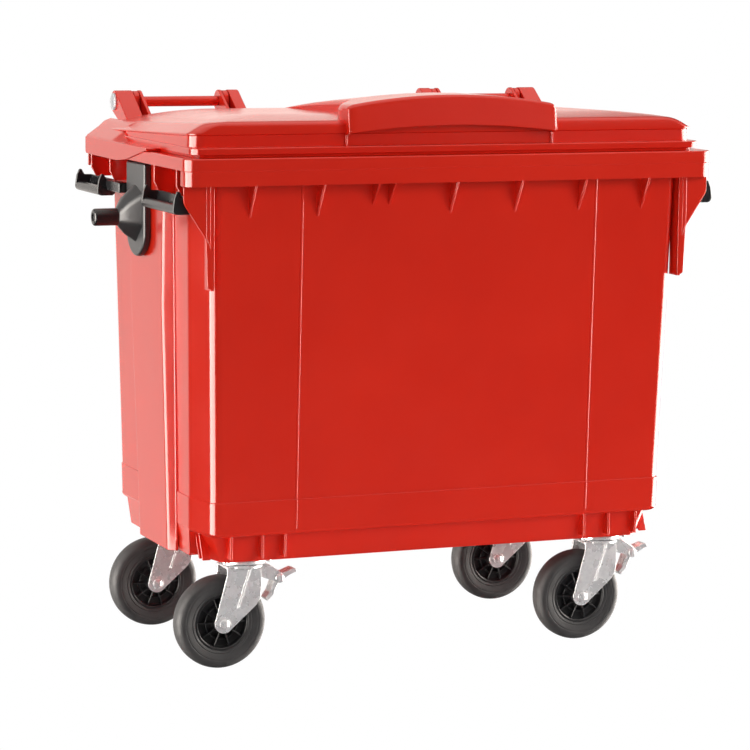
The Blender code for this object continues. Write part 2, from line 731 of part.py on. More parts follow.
def brake_pin():
    profile = [(0.0, 0.0270), (0.0070, 0.0270), (0.0100, 0.0240), (0.0100, 0.0200),
               (BRAKE_PIN_R, 0.0200), (BRAKE_PIN_R, -0.0210), (0.0, -0.0210)]
    return turned(profile, BORE_SIDES, (BRAKE_X, 0, BRAKE_Z), -Y)


def place(made, name, slot, at, origin=(0, 0, 0), parent=None):
    """Set down a caster piece that was modelled round the swivel axis."""
    made.data.transform(Matrix.Translation(at))
    return named(made, name, slot, Vector(at) + Vector(origin), parent)


def guide(name, at):
    empty = bpy.data.objects.new(name, None)
    empty.location = at
    BIN.objects.link(empty)
    return empty


def make_caster(sx, sy, word):
    at = (sx * SWIVEL_X, sy * SWIVEL_Y, 0)
    braked = sy < 0
    wheel_axis = (-TRAIL, 0, WHEEL_R)
    swivel = guide("caster_axis_" + word, at)
    place(caster_plate(), "caster_plate_" + word, ZINC, at)
    place(swivel_race(), "swivel_race_" + word, ZINC, at)
    place(kingpin(), "kingpin_" + word, ZINC, at)
    place(stud_plate(), "stud_plate_" + word, ZINC, at)
    place(fork(braked), "fork_" + word, ZINC, at, parent=swivel)
    place(axle(), "axle_bolt_" + word, ZINC, at, wheel_axis, swivel)
    place(axle_nut(), "axle_nut_" + word, ZINC, at, wheel_axis, swivel)
    place(wheel_hub(), "wheel_hub_" + word, BLACK, at, wheel_axis, swivel)
    place(tyre(), "tyre_" + word, RUBBER, at, wheel_axis, swivel)
    if braked:
        pivot = (BRAKE_X, 0, BRAKE_Z)
        place(brake_pedal(), "brake_pedal_" + word, BLACK, at, pivot, swivel)
        place(brake_pin(), "brake_pin_" + word, ZINC, at, pivot, swivel)


def make_drain_plug():
    """Push-in plug in the lowest part of the floor."""
    body_r, flange_r = DRAIN_R - 0.0006, DRAIN_R + 0.007
    profile = [(0.0, 0.0137), (0.0100, 0.0137), (0.0110, 0.0077), (body_r, 0.0077),
               (body_r, -GAP), (flange_r, -GAP), (flange_r, -0.0043), (0.0, -0.0043)]
    plug = turned(profile, 20, (0, DRAIN_Y, PAN_Z), Z)
    named(plug, "drain_plug", BLACK)


make_tub()
make_lid()
make_drain_plug()
for SIDE, WORD in ((-1, "left"), (1, "right")):
    make_hinge(SIDE, WORD)
    make_trunnion(SIDE, WORD)
    make_grips(SIDE, WORD)
for SX, WORD_X in ((-1, "left"), (1, "right")):
    for SY, WORD_Y in ((-1, "front"), (1, "rear")):
        make_caster(SX, SY, WORD_Y + "_" + WORD_X)
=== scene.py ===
"""Looks of the four-wheeled wheelie bin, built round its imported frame.

Metres, +Z up, front towards -Y. Every new piece is modelled in place, with its object at the
frame's origin, so object coordinates are the frame's coordinates in every material.
"""
import json
import math

import bmesh
import bpy
from mathutils import Matrix, Vector


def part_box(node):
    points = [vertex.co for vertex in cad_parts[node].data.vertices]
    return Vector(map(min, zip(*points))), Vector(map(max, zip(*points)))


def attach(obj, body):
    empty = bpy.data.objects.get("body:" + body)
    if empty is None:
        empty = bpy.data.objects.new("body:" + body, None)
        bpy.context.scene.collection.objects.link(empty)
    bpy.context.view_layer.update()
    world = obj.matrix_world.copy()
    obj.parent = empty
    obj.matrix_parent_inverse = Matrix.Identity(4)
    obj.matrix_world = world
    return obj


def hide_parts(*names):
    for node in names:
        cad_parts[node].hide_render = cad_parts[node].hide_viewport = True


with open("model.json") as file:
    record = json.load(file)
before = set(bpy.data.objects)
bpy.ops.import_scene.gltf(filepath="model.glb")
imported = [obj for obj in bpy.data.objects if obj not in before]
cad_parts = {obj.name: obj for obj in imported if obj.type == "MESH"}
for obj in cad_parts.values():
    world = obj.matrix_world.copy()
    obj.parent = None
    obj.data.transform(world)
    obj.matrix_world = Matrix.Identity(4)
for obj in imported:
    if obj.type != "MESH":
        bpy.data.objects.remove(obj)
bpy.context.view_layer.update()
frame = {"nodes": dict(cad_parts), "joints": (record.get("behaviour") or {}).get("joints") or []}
NODES = frame["nodes"]
X, Y, Z = Vector((1, 0, 0)), Vector((0, 1, 0)), Vector((0, 0, 1))
SIDES = ((-1, "left"), (1, "right"))


# Materials

class Nodes:
    """A node tree for one material, with short ways to add and link."""

    def __init__(self, name):
        self.material = bpy.data.materials.new(name)
        self.material.use_nodes = True
        self.tree = self.material.node_tree
        self.shader = self.tree.nodes["Principled BSDF"]
        coordinates = self.add("ShaderNodeTexCoord")
        self.place = coordinates.outputs["Object"]

    def add(self, kind, **settings):
        node = self.tree.nodes.new(kind)
        for key, value in settings.items():
            setattr(node, key, value)
        return node

    def link(self, source, target):
        self.tree.links.new(source, target)

    def noise(self, scale, detail=2.0, roughness=0.5, stretch=None):
        texture = self.add("ShaderNodeTexNoise")
        texture.inputs["Scale"].default_value = scale
        texture.inputs["Detail"].default_value = detail
        texture.inputs["Roughness"].default_value = roughness
        source = self.place
        if stretch:
            mapping = self.add("ShaderNodeMapping")
            mapping.inputs["Scale"].default_value = stretch
            self.link(source, mapping.inputs["Vector"])
            source = mapping.outputs["Vector"]
        self.link(source, texture.inputs["Vector"])
        return texture.outputs["Fac"]

    def spread(self, value, low, high, out_low=0.0, out_high=1.0):
        """Map a value's range from low..high to out_low..out_high, clamped."""
        node = self.add("ShaderNodeMapRange", clamp=True)
        node.inputs["From Min"].default_value = low
        node.inputs["From Max"].default_value = high
        node.inputs["To Min"].default_value = out_low
        node.inputs["To Max"].default_value = out_high
        self.link(value, node.inputs["Value"])
        return node.outputs["Result"]

    def mix(self, factor, first, second):
        """Mix two colours, each given as a tuple or as a socket."""
        node = self.add("ShaderNodeMix", data_type="RGBA")
        self.link(factor, node.inputs["Factor"])
        for socket, value in ((node.inputs[6], first), (node.inputs[7], second)):
            if isinstance(value, tuple):
                socket.default_value = (*value, 1.0)
            else:
                self.link(value, socket)
        return node.outputs[2]

    def combine(self, operation, first, second):
        node = self.add("ShaderNodeMath", operation=operation)
        for socket, value in zip(node.inputs, (first, second)):
            if isinstance(value, (int, float)):
                socket.default_value = value
            else:
                self.link(value, socket)
        return node.outputs["Value"]

    def bump(self, height, distance, strength=1.0, below=None):
        node = self.add("ShaderNodeBump")
        node.inputs["Distance"].default_value = distance
        node.inputs["Strength"].default_value = strength
        self.link(height, node.inputs["Height"])
        if below:
            self.link(below, node.inputs["Normal"])
        return node.outputs["Normal"]

    def finish(self, colour, roughness, normal, metallic=0.0, ior=1.5):
        self.link(colour, self.shader.inputs["Base Color"])
        self.link(roughness, self.shader.inputs["Roughness"])
        self.link(normal, self.shader.inputs["Normal"])
        self.shader.inputs["Metallic"].default_value = metallic
        self.shader.inputs["IOR"].default_value = ior
        return self.material


def moulded(name, dark, light, gloss, grain, scuff, ior=1.5):
    """Injection-moulded plastic: flow-mark colour drift, fine spark grain, wavy skin, hair scuffs."""
    n = Nodes(name)
    drift = n.spread(n.noise(3.0, 3.0, 0.55), 0.3, 0.7)
    colour = n.mix(drift, dark, light)
    hair = n.spread(n.noise(60.0, 4.0, 0.7, (1.0, 1.0, 9.0)), 0.66, 0.78, 0.0, scuff)
    worn = tuple(min(1.0, 0.75 * c + 0.10) for c in light)
    colour = n.mix(hair, colour, worn)
    rough = n.spread(n.noise(9.0, 3.0, 0.6), 0.25, 0.75, gloss - 0.02, gloss + 0.03)
    rough = n.combine("ADD", rough, hair)
    waves = n.bump(n.noise(4.0, 0.0), 0.0030, 0.12)
    fine = n.bump(n.noise(1400.0, 2.0), grain, 0.55, waves)
    return n.finish(colour, rough, fine, ior=ior)


def zinc_plate(name):
    """Bright zinc plating: faint crystal patches, drawn streaks and duller rubbed spots."""
    n = Nodes(name)
    crystals = n.add("ShaderNodeTexVoronoi")
    crystals.inputs["Scale"].default_value = 190.0
    n.link(n.place, crystals.inputs["Vector"])
    patch = n.spread(crystals.outputs["Color"], 0.0, 1.0)
    colour = n.mix(patch, (0.80, 0.81, 0.82), (0.90, 0.905, 0.91))
    stain = n.spread(n.noise(26.0, 5.0, 0.6), 0.52, 0.72)
    colour = n.mix(stain, colour, (0.70, 0.71, 0.72))
    rough = n.spread(n.noise(40.0, 4.0), 0.3, 0.7, 0.20, 0.36)
    streaks = n.bump(n.noise(90.0, 3.0, 0.6, (1.0, 1.0, 0.12)), 0.0003, 0.35)
    return n.finish(colour, rough, streaks, metallic=0.50)


def tyre_rubber(name):
    """Solid grey-black rubber: moulding mottle, dusty patches and a fine matt grain."""
    n = Nodes(name)
    mottle = n.spread(n.noise(34.0, 4.0, 0.65), 0.3, 0.7)
    colour = n.mix(mottle, (0.024, 0.024, 0.025), (0.034, 0.034, 0.035))
    dust = n.spread(n.noise(11.0, 5.0, 0.7), 0.56, 0.80, 0.0, 0.45)
    colour = n.mix(dust, colour, (0.050, 0.049, 0.047))
    rough = n.spread(n.noise(50.0, 3.0), 0.3, 0.7, 0.52, 0.70)
    grain = n.bump(n.noise(900.0, 3.0), 0.00025, 0.6)
    return n.finish(colour, rough, grain, ior=1.45)


RED = moulded("red_hdpe", (0.610, 0.0175, 0.0070), (0.660, 0.0215, 0.0085), 0.19, 0.00004, 0.02, 1.52)
BLACK = moulded("black_grip_plastic", (0.010, 0.010, 0.011), (0.022, 0.022, 0.024), 0.27, 0.00010, 0.05)
DARK = moulded("dark_grey_trunnion_plastic", (0.014, 0.015, 0.016), (0.024, 0.025, 0.027), 0.38, 0.00016,
               0.05)
HUB = moulded("hub_plastic", (0.013, 0.013, 0.014), (0.026, 0.026, 0.027), 0.33, 0.00010, 0.06)
CAP = moulded("grey_cap_plastic", (0.52, 0.54, 0.55), (0.62, 0.64, 0.645), 0.30, 0.00008, 0.04)
ZINC = zinc_plate("zinc_plate")
RUBBER = tyre_rubber("tyre_rubber")


# Mesh helpers

def made(name, bm, material, body, bevel=0.0, segments=3, limit=34.0, smooth=40.0):
    """Turn a bmesh into a finished piece that rides on a body."""
    bmesh.ops.recalc_face_normals(bm, faces=bm.faces)
    mesh = bpy.data.meshes.new(name)
    bm.to_mesh(mesh)
    bm.free()
    piece = bpy.data.objects.new(name, mesh)
    bpy.context.scene.collection.objects.link(piece)
    mesh.materials.append(material)
    mesh.shade_smooth()
    if bevel:
        soften(piece, bevel, segments, limit)
    settle = piece.modifiers.new("flat faces", "WEIGHTED_NORMAL")
    settle.keep_sharp = True
    mesh.set_sharp_from_angle(angle=math.radians(smooth if not bevel else 60.0))
    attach(piece, body)
    return piece


def soften(piece, width, segments=3, limit=34.0):
    step = piece.modifiers.new("edges", "BEVEL")
    step.width = width
    step.segments = segments
    step.limit_method = "ANGLE"
    step.angle_limit = math.radians(limit)


def cut_out(piece, low, high):
    """Cut a box out of a finished piece, before its bevel."""
    bm = bmesh.new()
    add_box(bm, low, high)
    bmesh.ops.recalc_face_normals(bm, faces=bm.faces)
    mesh = bpy.data.meshes.new("cutter")
    bm.to_mesh(mesh)
    bm.free()
    cutter = bpy.data.objects.new("cutter", mesh)
    bpy.context.scene.collection.objects.link(cutter)
    step = piece.modifiers.new("cut", "BOOLEAN")
    step.operation = "DIFFERENCE"
    step.solver = "EXACT"
    step.object = cutter
    view = bpy.context.evaluated_depsgraph_get()
    view.update()
    others = [m for m in piece.modifiers if m.type != "BOOLEAN"]
    shown = [m.show_viewport for m in others]
    for other in others:
        other.show_viewport = False
    view.update()
    cut = bpy.data.meshes.new_from_object(piece.evaluated_get(view))
    for other, state in zip(others, shown):
        other.show_viewport = state
    piece.modifiers.remove(step)
    piece.data = cut
    piece.data.shade_smooth()
    bpy.data.objects.remove(cutter)


def arc(centre, radius, start, end, count):
    points = []
    for index in range(count):
        angle = math.radians(start + (end - start) * index / (count - 1))
        points.append((centre[0] + radius * math.cos(angle), centre[1] + radius * math.sin(angle)))
    return points


def rounded(outline, radius, steps=5):
    """Round every corner of a closed outline by a radius, or by one radius per corner."""
    radii = radius if isinstance(radius, (list, tuple)) else [radius] * len(outline)
    points = []
    count = len(outline)
    for index in range(count):
        here = Vector(outline[index])
        before = Vector(outline[index - 1]) - here
        after = Vector(outline[(index + 1) % count]) - here
        reach = min(radii[index], 0.48 * before.length, 0.48 * after.length)
        if reach <= 1e-6:
            points.append(tuple(here))
            continue
        first = here + before.normalized() * reach
        last = here + after.normalized() * reach
        for step in range(steps + 1):
            t = step / steps
            points.append(tuple((1 - t) ** 2 * first + 2 * t * (1 - t) * here + t ** 2 * last))
    return points


def add_loft(bm, rings):
    """Skin a row of rings of equal length and close both ends."""
    rows = [[bm.verts.new(point) for point in ring] for ring in rings]
    count = len(rows[0])
    for lower, upper in zip(rows, rows[1:]):
        for index in range(count):
            after = (index + 1) % count
            bm.faces.new((lower[index], lower[after], upper[after], upper[index]))
    bm.faces.new(rows[0])
    bm.faces.new(rows[-1])


def add_box(bm, low, high):
    made_box = bmesh.ops.create_cube(bm, size=1.0)["verts"]
    low, high = Vector(low), Vector(high)
    bmesh.ops.scale(bm, vec=high - low, verts=made_box)
    bmesh.ops.translate(bm, vec=(low + high) / 2, verts=made_box)


def add_prism(bm, outline, normal, middle, thickness):
    """An outline of (y, z) points for normal X, (x, z) for Y, (x, y) for Z, made a thick plate."""
    rings = []
    for offset in (-thickness / 2, thickness / 2):
        level = middle + offset
        if normal == "X":
            rings.append([(level, u, v) for u, v in outline])
        elif normal == "Y":
            rings.append([(u, level, v) for u, v in outline])
        else:
            rings.append([(u, v, level) for u, v in outline])
    add_loft(bm, rings)


def add_lathe(bm, profile, centre, axis, steps):
    """Turn a profile of (radius, height) about an axis. Ends on the axis are closed by a fan."""
    turn = Z.rotation_difference(axis).to_matrix().to_4x4()
    place = Matrix.Translation(centre) @ turn
    rows = []
    for radius, height in profile:
        if radius < 1e-7:
            rows.append([bm.verts.new(place @ Vector((0, 0, height)))])
            continue
        row = []
        for index in range(steps):
            angle = 2 * math.pi * index / steps
            point = Vector((radius * math.cos(angle), radius * math.sin(angle), height))
            row.append(bm.verts.new(place @ point))
        rows.append(row)
    on_axis = len(rows[0]) == 1
    pairs = list(zip(rows, rows[1:]))
    if not on_axis:
        pairs.append((rows[-1], rows[0]))
    for lower, upper in pairs:
        for index in range(steps):
            after = (index + 1) % steps
            corners = []
            for row, at in ((lower, index), (lower, after), (upper, after), (upper, index)):
                vertex = row[at % len(row)] if len(row) > 1 else row[0]
                if vertex not in corners:
                    corners.append(vertex)
            if len(corners) > 2:
                bm.faces.new(corners)


def mirrored(side, points):
    return [(side * u, v) for u, v in points]


def made_loft(name, rings, material, body, *finish, **smoothing):
    bm = bmesh.new()
    add_loft(bm, rings)
    return made(name, bm, material, body, *finish, **smoothing)


def made_lathe(name, profile, centre, axis, steps, material, body, *finish, **smoothing):
    bm = bmesh.new()
    add_lathe(bm, profile, centre, axis, steps)
    return made(name, bm, material, body, *finish, **smoothing)


def made_plate(name, outline, normal, middle, thickness, material, body, *finish, **smoothing):
    bm = bmesh.new()
    add_prism(bm, outline, normal, middle, thickness)
    return made(name, bm, material, body, *finish, **smoothing)


# Driving dimensions, from the frame

JOINTS = {joint["name"]: Vector(joint["pos_m"]) for joint in frame["joints"]}
PIVOT = JOINTS["lid_hinge"]
TUB_LOW, TUB_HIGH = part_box("tub")
TRUNNION_LOW, TRUNNION_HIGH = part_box("trunnion_right")
HOOD_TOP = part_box("lid")[1].z
RIM_HALF_X = TUB_HIGH.x
RIM_FRONT = TUB_LOW.y
RIM_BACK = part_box("side_grip_rear_right")[1].y
TUB_Y = (RIM_FRONT + RIM_BACK) / 2
RIM_BOTTOM = 1.0350
RIM_SPLIT = RIM_BOTTOM + 0.0310
RIM_TOP = RIM_BOTTOM + 0.0568
GAP = 0.0003
WALL = 0.0045
BODY_BOTTOM = 0.296
BASE_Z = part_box("caster_plate_front_left")[1].z + GAP
FLOOR_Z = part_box("stud_plate_front_left")[0].z + 0.0075
FACET = 0.018
STEP_Z = 0.371
STEP_OUT = 0.0020
CORNER = 11
EYE_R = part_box("lid")[1].y - PIVOT.y
LUG_X = (-0.4705, -0.2585, 0.2585, 0.4705)
PANEL_X = 0.570
SKIRT_LEAN = 0.0100
FIN_Y = -0.3575
FIN_IN = 0.5325
CASTERS = [(place + "_" + word, place == "front") for _, word in SIDES for place in ("front", "rear")]


# Plan outline shared by the tub and the lid

def section(z, half_x, front, back, front_r, back_r, facet=0.0, tilt=0.0, lowest=0.0):
    """Ring round the bin at height z, leaning in by the facet near the front corners."""
    reach = 0.070 if facet else 0.020
    lean = math.atan2(facet, reach)
    corner_x = half_x - facet - front_r * math.cos(lean)
    right = arc((corner_x, front + front_r), front_r, -90, -math.degrees(lean), CORNER)
    crease = front + front_r + reach
    for t in (-1.0, -0.4, 0.4, 1.0):
        inward = max(-t, 0.0) * 0.010 * math.tan(lean) if facet else 0.0
        right.append((half_x - inward, crease + t * 0.010))
    right += arc((half_x - back_r, back - back_r), back_r, 0, 90, CORNER)
    left = [(-x, y) for x, y in reversed(right)]
    ring = []
    for x, y in right + left:
        ring.append((x, y, max(z - tilt * (y - RIM_FRONT - 0.05), lowest)))
    return ring


def tub_wall(z):
    """Half width, front and back of the drafted wall's outer face at height z."""
    t = (z - BODY_BOTTOM) / (RIM_BOTTOM - BODY_BOTTOM)
    return 0.537 + 0.016 * t, -0.3165 - 0.0285 * t, 0.2745 + 0.0195 * t


def wall_section(z, inset):
    half_x, front, back = tub_wall(z)
    return section(z, half_x - inset, front + inset, back - inset, 0.024, 0.045 - inset, FACET)


def rim_section(z, inset):
    return section(z, RIM_HALF_X - inset, RIM_FRONT + inset, RIM_BACK - inset,
                   0.030 - inset, 0.045 - inset)


# Tub

def tub_skin():
    """The moulded shell: base, drafted walls, two-step rim, its turned-down skirt, and the inside."""
    skirt = 0.0060
    rings = [
        section(BASE_Z, 0.507, -0.283, 0.2685, 0.020, 0.040, FACET),
        section(BODY_BOTTOM - 0.002, 0.525, -0.292, 0.2690, 0.020, 0.040, FACET),
        wall_section(BODY_BOTTOM, 0.0040),
        wall_section(BODY_BOTTOM + 0.0012, 0.0016),
        wall_section(BODY_BOTTOM + 0.0036, -0.0006),
        wall_section(BODY_BOTTOM + 0.0070, -STEP_OUT - 0.0006),
        wall_section(BODY_BOTTOM + 0.0100, -STEP_OUT - 0.0006),
        wall_section(BODY_BOTTOM + 0.0112, -STEP_OUT),
        wall_section(STEP_Z - 0.0016, -STEP_OUT),
        wall_section(STEP_Z - 0.0006, -STEP_OUT + 0.0006),
        wall_section(STEP_Z, 0.0),
        wall_section(0.60, 0.0),
        wall_section(0.85, 0.0),
        wall_section(RIM_BOTTOM, 0.0),
        wall_section(RIM_TOP - skirt, 0.0),
        rim_section(RIM_TOP - skirt, skirt),
        rim_section(RIM_BOTTOM, skirt),
        rim_section(RIM_BOTTOM, 0.0015),
        rim_section(RIM_SPLIT - 0.0008, 0.0015),
        rim_section(RIM_SPLIT + 0.0010, 0.0),
    ]
    for angle in (0, 22, 45, 68, 90):
        turn = math.radians(angle)
        rings.append(rim_section(RIM_TOP - 0.003 * (1 - math.sin(turn)), 0.003 * (1 - math.cos(turn))))
    rings += [
        wall_section(RIM_TOP, WALL),
        wall_section(STEP_Z, WALL),
        wall_section(BODY_BOTTOM + 0.007, WALL - 0.001),
        section(BODY_BOTTOM + 0.003, 0.5205, -0.2875, 0.2645, 0.018, 0.038, FACET),
        section(FLOOR_Z, 0.5035, -0.2795, 0.2640, 0.018, 0.038, FACET),
    ]
    skin = made_loft("tub_skin", rings, RED, "tub_body", 0.0011, 2, 38)
    for side in (-1, 1):
        near, far = sorted((side * 0.5905, side * 0.620))
        cut_out(skin, (near, TUB_Y - 0.315, RIM_BOTTOM - 0.004), (far, TUB_Y + 0.315, RIM_SPLIT))
    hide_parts("tub")


def base_pan():
    """Lower middle of the floor between the caster housings, with a lip round its lower edge."""
    low = TUB_LOW.z
    rings = []
    for z, inset in ((low, 0.0030), (low + 0.0008, 0.0008), (low + 0.003, 0.0), (low + 0.019, 0.0),
                     (low + 0.0215, 0.0030), (BODY_BOTTOM + 0.002, 0.0045)):
        outline = [(-0.302 + inset, -0.235 + inset), (0.302 - inset, -0.235 + inset),
                   (0.302 - inset, 0.205 - inset), (-0.302 + inset, 0.205 - inset)]
        rings.append([(x, y, z) for x, y in rounded(outline, 0.012)])
    made_loft("base_pan", rings, RED, "tub_body", 0.0008, 2)


def end_panel(side, word):
    """Raised panel up the middle of an end wall, and the beads along its two edges."""
    rings = []
    stations = ((BASE_Z - 0.001, 0.553, 0.110), (0.300, 0.5545, 0.1112), (0.770, PANEL_X, 0.120),
                (RIM_TOP - 0.007, PANEL_X, 0.131))
    for z, outer, half_y in stations:
        wall = tub_wall(max(z, BODY_BOTTOM))[0]
        outline = [(wall - 0.004, -half_y), (wall + 0.0005, -half_y), (outer, -half_y + 0.014),
                   (outer, half_y - 0.014), (wall + 0.0005, half_y), (wall - 0.004, half_y)]
        smooth = rounded(outline, [0.0, 0.004, 0.006, 0.006, 0.004, 0.0])
        rings.append([(side * x, TUB_Y + y, z) for x, y in smooth])
    made_loft("end_panel_" + word, rings, RED, "tub_body", 0.0015, 2, 40)
    for way, place in ((-1, "front"), (1, "rear")):
        rings = []
        for z, half_y in ((0.262, 0.1145), (0.300, 0.1155), (0.770, 0.1250), (RIM_BOTTOM, 0.1340)):
            wall = tub_wall(max(z, BODY_BOTTOM))[0] + (STEP_OUT if z < STEP_Z else 0.0)
            row = [(wall - 0.003, -0.0040)]
            row += [(wall + 0.0030 * math.sin(math.pi * t / 8), -0.0040 * math.cos(math.pi * t / 8))
                    for t in range(1, 8)]
            row += [(wall - 0.003, 0.0040)]
            rings.append([(side * x, TUB_Y + way * (half_y + y), z) for x, y in row])
        made_loft("end_bead_" + word + "_" + place, rings, RED, "tub_body")


def end_skirt(side, word):
    """Lower edge of the end wall, carried down to the base, and two slanting ribs in front of it."""
    low = BASE_Z - 0.0008
    high = BODY_BOTTOM + 0.008
    wall = tub_wall(BODY_BOTTOM)[0] + STEP_OUT
    corners = [(0.205, low), (-0.196, low), (-0.203, low + 0.010), (-0.210, low + 0.030), (-0.2215, high),
               (0.205, high)]
    shape = rounded(corners, [0.004, 0.006, 0.010, 0.010, 0, 0], 4)
    inner = [(side * 0.500, y, z) for y, z in shape]
    outer = [(side * (wall - SKIRT_LEAN * (high - z) / (high - low)), y, z) for y, z in shape]
    made_loft("end_skirt_" + word, [inner, outer], RED, "tub_body", 0.0016, 3)
    bm = bmesh.new()
    for foot in (-0.262, -0.240):
        lean = [(foot, low + 0.0008), (foot + 0.005, low + 0.0008), (foot + 0.033, BODY_BOTTOM + 0.001),
                (foot + 0.028, BODY_BOTTOM + 0.001)]
        add_prism(bm, lean, "X", side * 0.513, 0.018)
    made("end_ribs_" + word, bm, RED, "tub_body", 0.0010, 2)


def front_beads():
    """Two slim vertical beads on the front wall, from the lower edge to the rim."""
    for x, name in ((-0.335, "left"), (0.340, "right")):
        rings = []
        for z in (BODY_BOTTOM + 0.012, STEP_Z - 0.002, STEP_Z, 0.70, RIM_BOTTOM + 0.004):
            front = tub_wall(z)[1] - (STEP_OUT if z < STEP_Z else 0.0)
            row = [(-0.0030, 0.0020)]
            row += [(-0.0030 * math.cos(math.pi * t / 6), -0.0013 * math.sin(math.pi * t / 6))
                    for t in range(1, 6)]
            row += [(0.0030, 0.0020)]
            rings.append([(x + u, front + v, z) for u, v in row])
        made_loft("front_bead_" + name, rings, RED, "tub_body")


def gusset(x, foot, edge_y, name):
    """Triangular rib from the wall up to the rim's skirt, on the front or the back."""
    wall_y = tub_wall(foot)[1] + 0.002 if edge_y < 0 else tub_wall(foot)[2] - 0.002
    outer = edge_y + 0.004 if edge_y < 0 else edge_y - 0.004
    top = RIM_TOP - 0.002
    outline = [(wall_y, foot), (outer, RIM_BOTTOM + 0.001), (outer, top), (wall_y, top)]
    made_plate("gusset_" + name, outline, "X", x, 0.005, RED, "tub_body", 0.0012, 2)


def end_comb(side, word):
    """Vertical ribs that close the end recess of the rim and carry the side grips."""
    bm = bmesh.new()
    low, top = 1.0123, RIM_TOP - 0.002
    outline = [(0.550, low), (0.587, low), (0.5985, low + 0.020), (0.5985, top), (0.550, top)]
    for y in (-0.310, -0.165, 0.140, 0.275):
        add_prism(bm, mirrored(side, outline), "Y", y, 0.006)
    made("end_comb_" + word, bm, RED, "tub_body", 0.0013, 2)


def corner_fin(side, word):
    """Flange in the plane of the front wall, beside the corner, with the root that ties it to the body."""
    low, high = 0.820, RIM_TOP - 0.002
    corners = [(FIN_IN, low), (0.5465, low + 0.006), (0.5505, 0.927), (0.599, 1.000), (0.599, high),
               (FIN_IN, high)]
    flange = rounded(corners, [0.003, 0.004, 0.006, 0.006, 0, 0], 4)
    root_top = RIM_BOTTOM + 0.005
    root = [(FIN_IN, low), (0.5405, low), (0.5405, root_top), (FIN_IN, root_top)]
    rib = [(0.541, 0.905), (0.5505, 0.932), (0.5505, high), (0.541, high)]
    bm = bmesh.new()
    add_prism(bm, mirrored(side, flange), "Y", FIN_Y, 0.005)
    add_prism(bm, mirrored(side, root), "Y", -0.3395, 0.0370)
    made("corner_fin_" + word, bm, RED, "tub_body", 0.0016, 3)
    made_plate("corner_rib_" + word, mirrored(side, rib), "Y", -0.3606, 0.0022, RED, "tub_body", 0.0010, 3)


def hinge_lugs():
    """Ears on the back of the rim that carry the hinge pins."""
    bm = bmesh.new()
    eye = arc((PIVOT.y, PIVOT.z), EYE_R - 0.0015, 150, -60, 22)
    front = [(0.322, RIM_TOP - 0.002), (0.334, 1.145)]
    back = [(0.352, 1.100), (0.332, 1.060), (0.322, 1.060)]
    for x in LUG_X:
        add_prism(bm, front + eye + back, "X", x, 0.012)
    made("hinge_lugs", bm, RED, "tub_body", 0.0012, 2)


def housing_ribs():
    """Upright ribs in the recess under the body's lower edge, front and back."""
    bm = bmesh.new()
    for x in (-0.475, -0.405, -0.355, 0.345, 0.405, 0.470):
        for front, back in ((-0.309, -0.280), (0.262, 0.2725)):
            add_box(bm, (x - 0.0025, front, BASE_Z + 0.006), (x + 0.0025, back, BODY_BOTTOM + 0.003))
    made("housing_ribs", bm, RED, "tub_body", 0.0009, 2)


def make_tub():
    tub_skin()
    base_pan()
    front_beads()
    for side, word in SIDES:
        end_panel(side, word)
        end_skirt(side, word)
        end_comb(side, word)
        corner_fin(side, word)
    for number, x in enumerate((-0.45, -0.30, 0.0, 0.15, 0.30, 0.45)):
        gusset(x, 0.963, RIM_FRONT, "front_%d" % (number + 1))
    for number, x in enumerate((-0.176, -0.140)):
        gusset(x, 0.985, RIM_FRONT, "short_%d" % (number + 1))
    for number, x in enumerate((-0.36, -0.12, 0.12, 0.36)):
        gusset(x, 0.963, RIM_BACK, "rear_%d" % (number + 1))
    hinge_lugs()
    housing_ribs()


# Lid

LID_TILT, EDGE_TILT, CROWN_TILT = 0.045, 0.035, 0.020


def lid_part(z, inset, tilt=LID_TILT, lowest=0.0, front_r=0.030, end_inset=None):
    half_x = RIM_HALF_X - (inset if end_inset is None else end_inset)
    return section(z, half_x, RIM_FRONT + inset, RIM_BACK - inset, front_r, 0.040, 0, tilt, lowest)


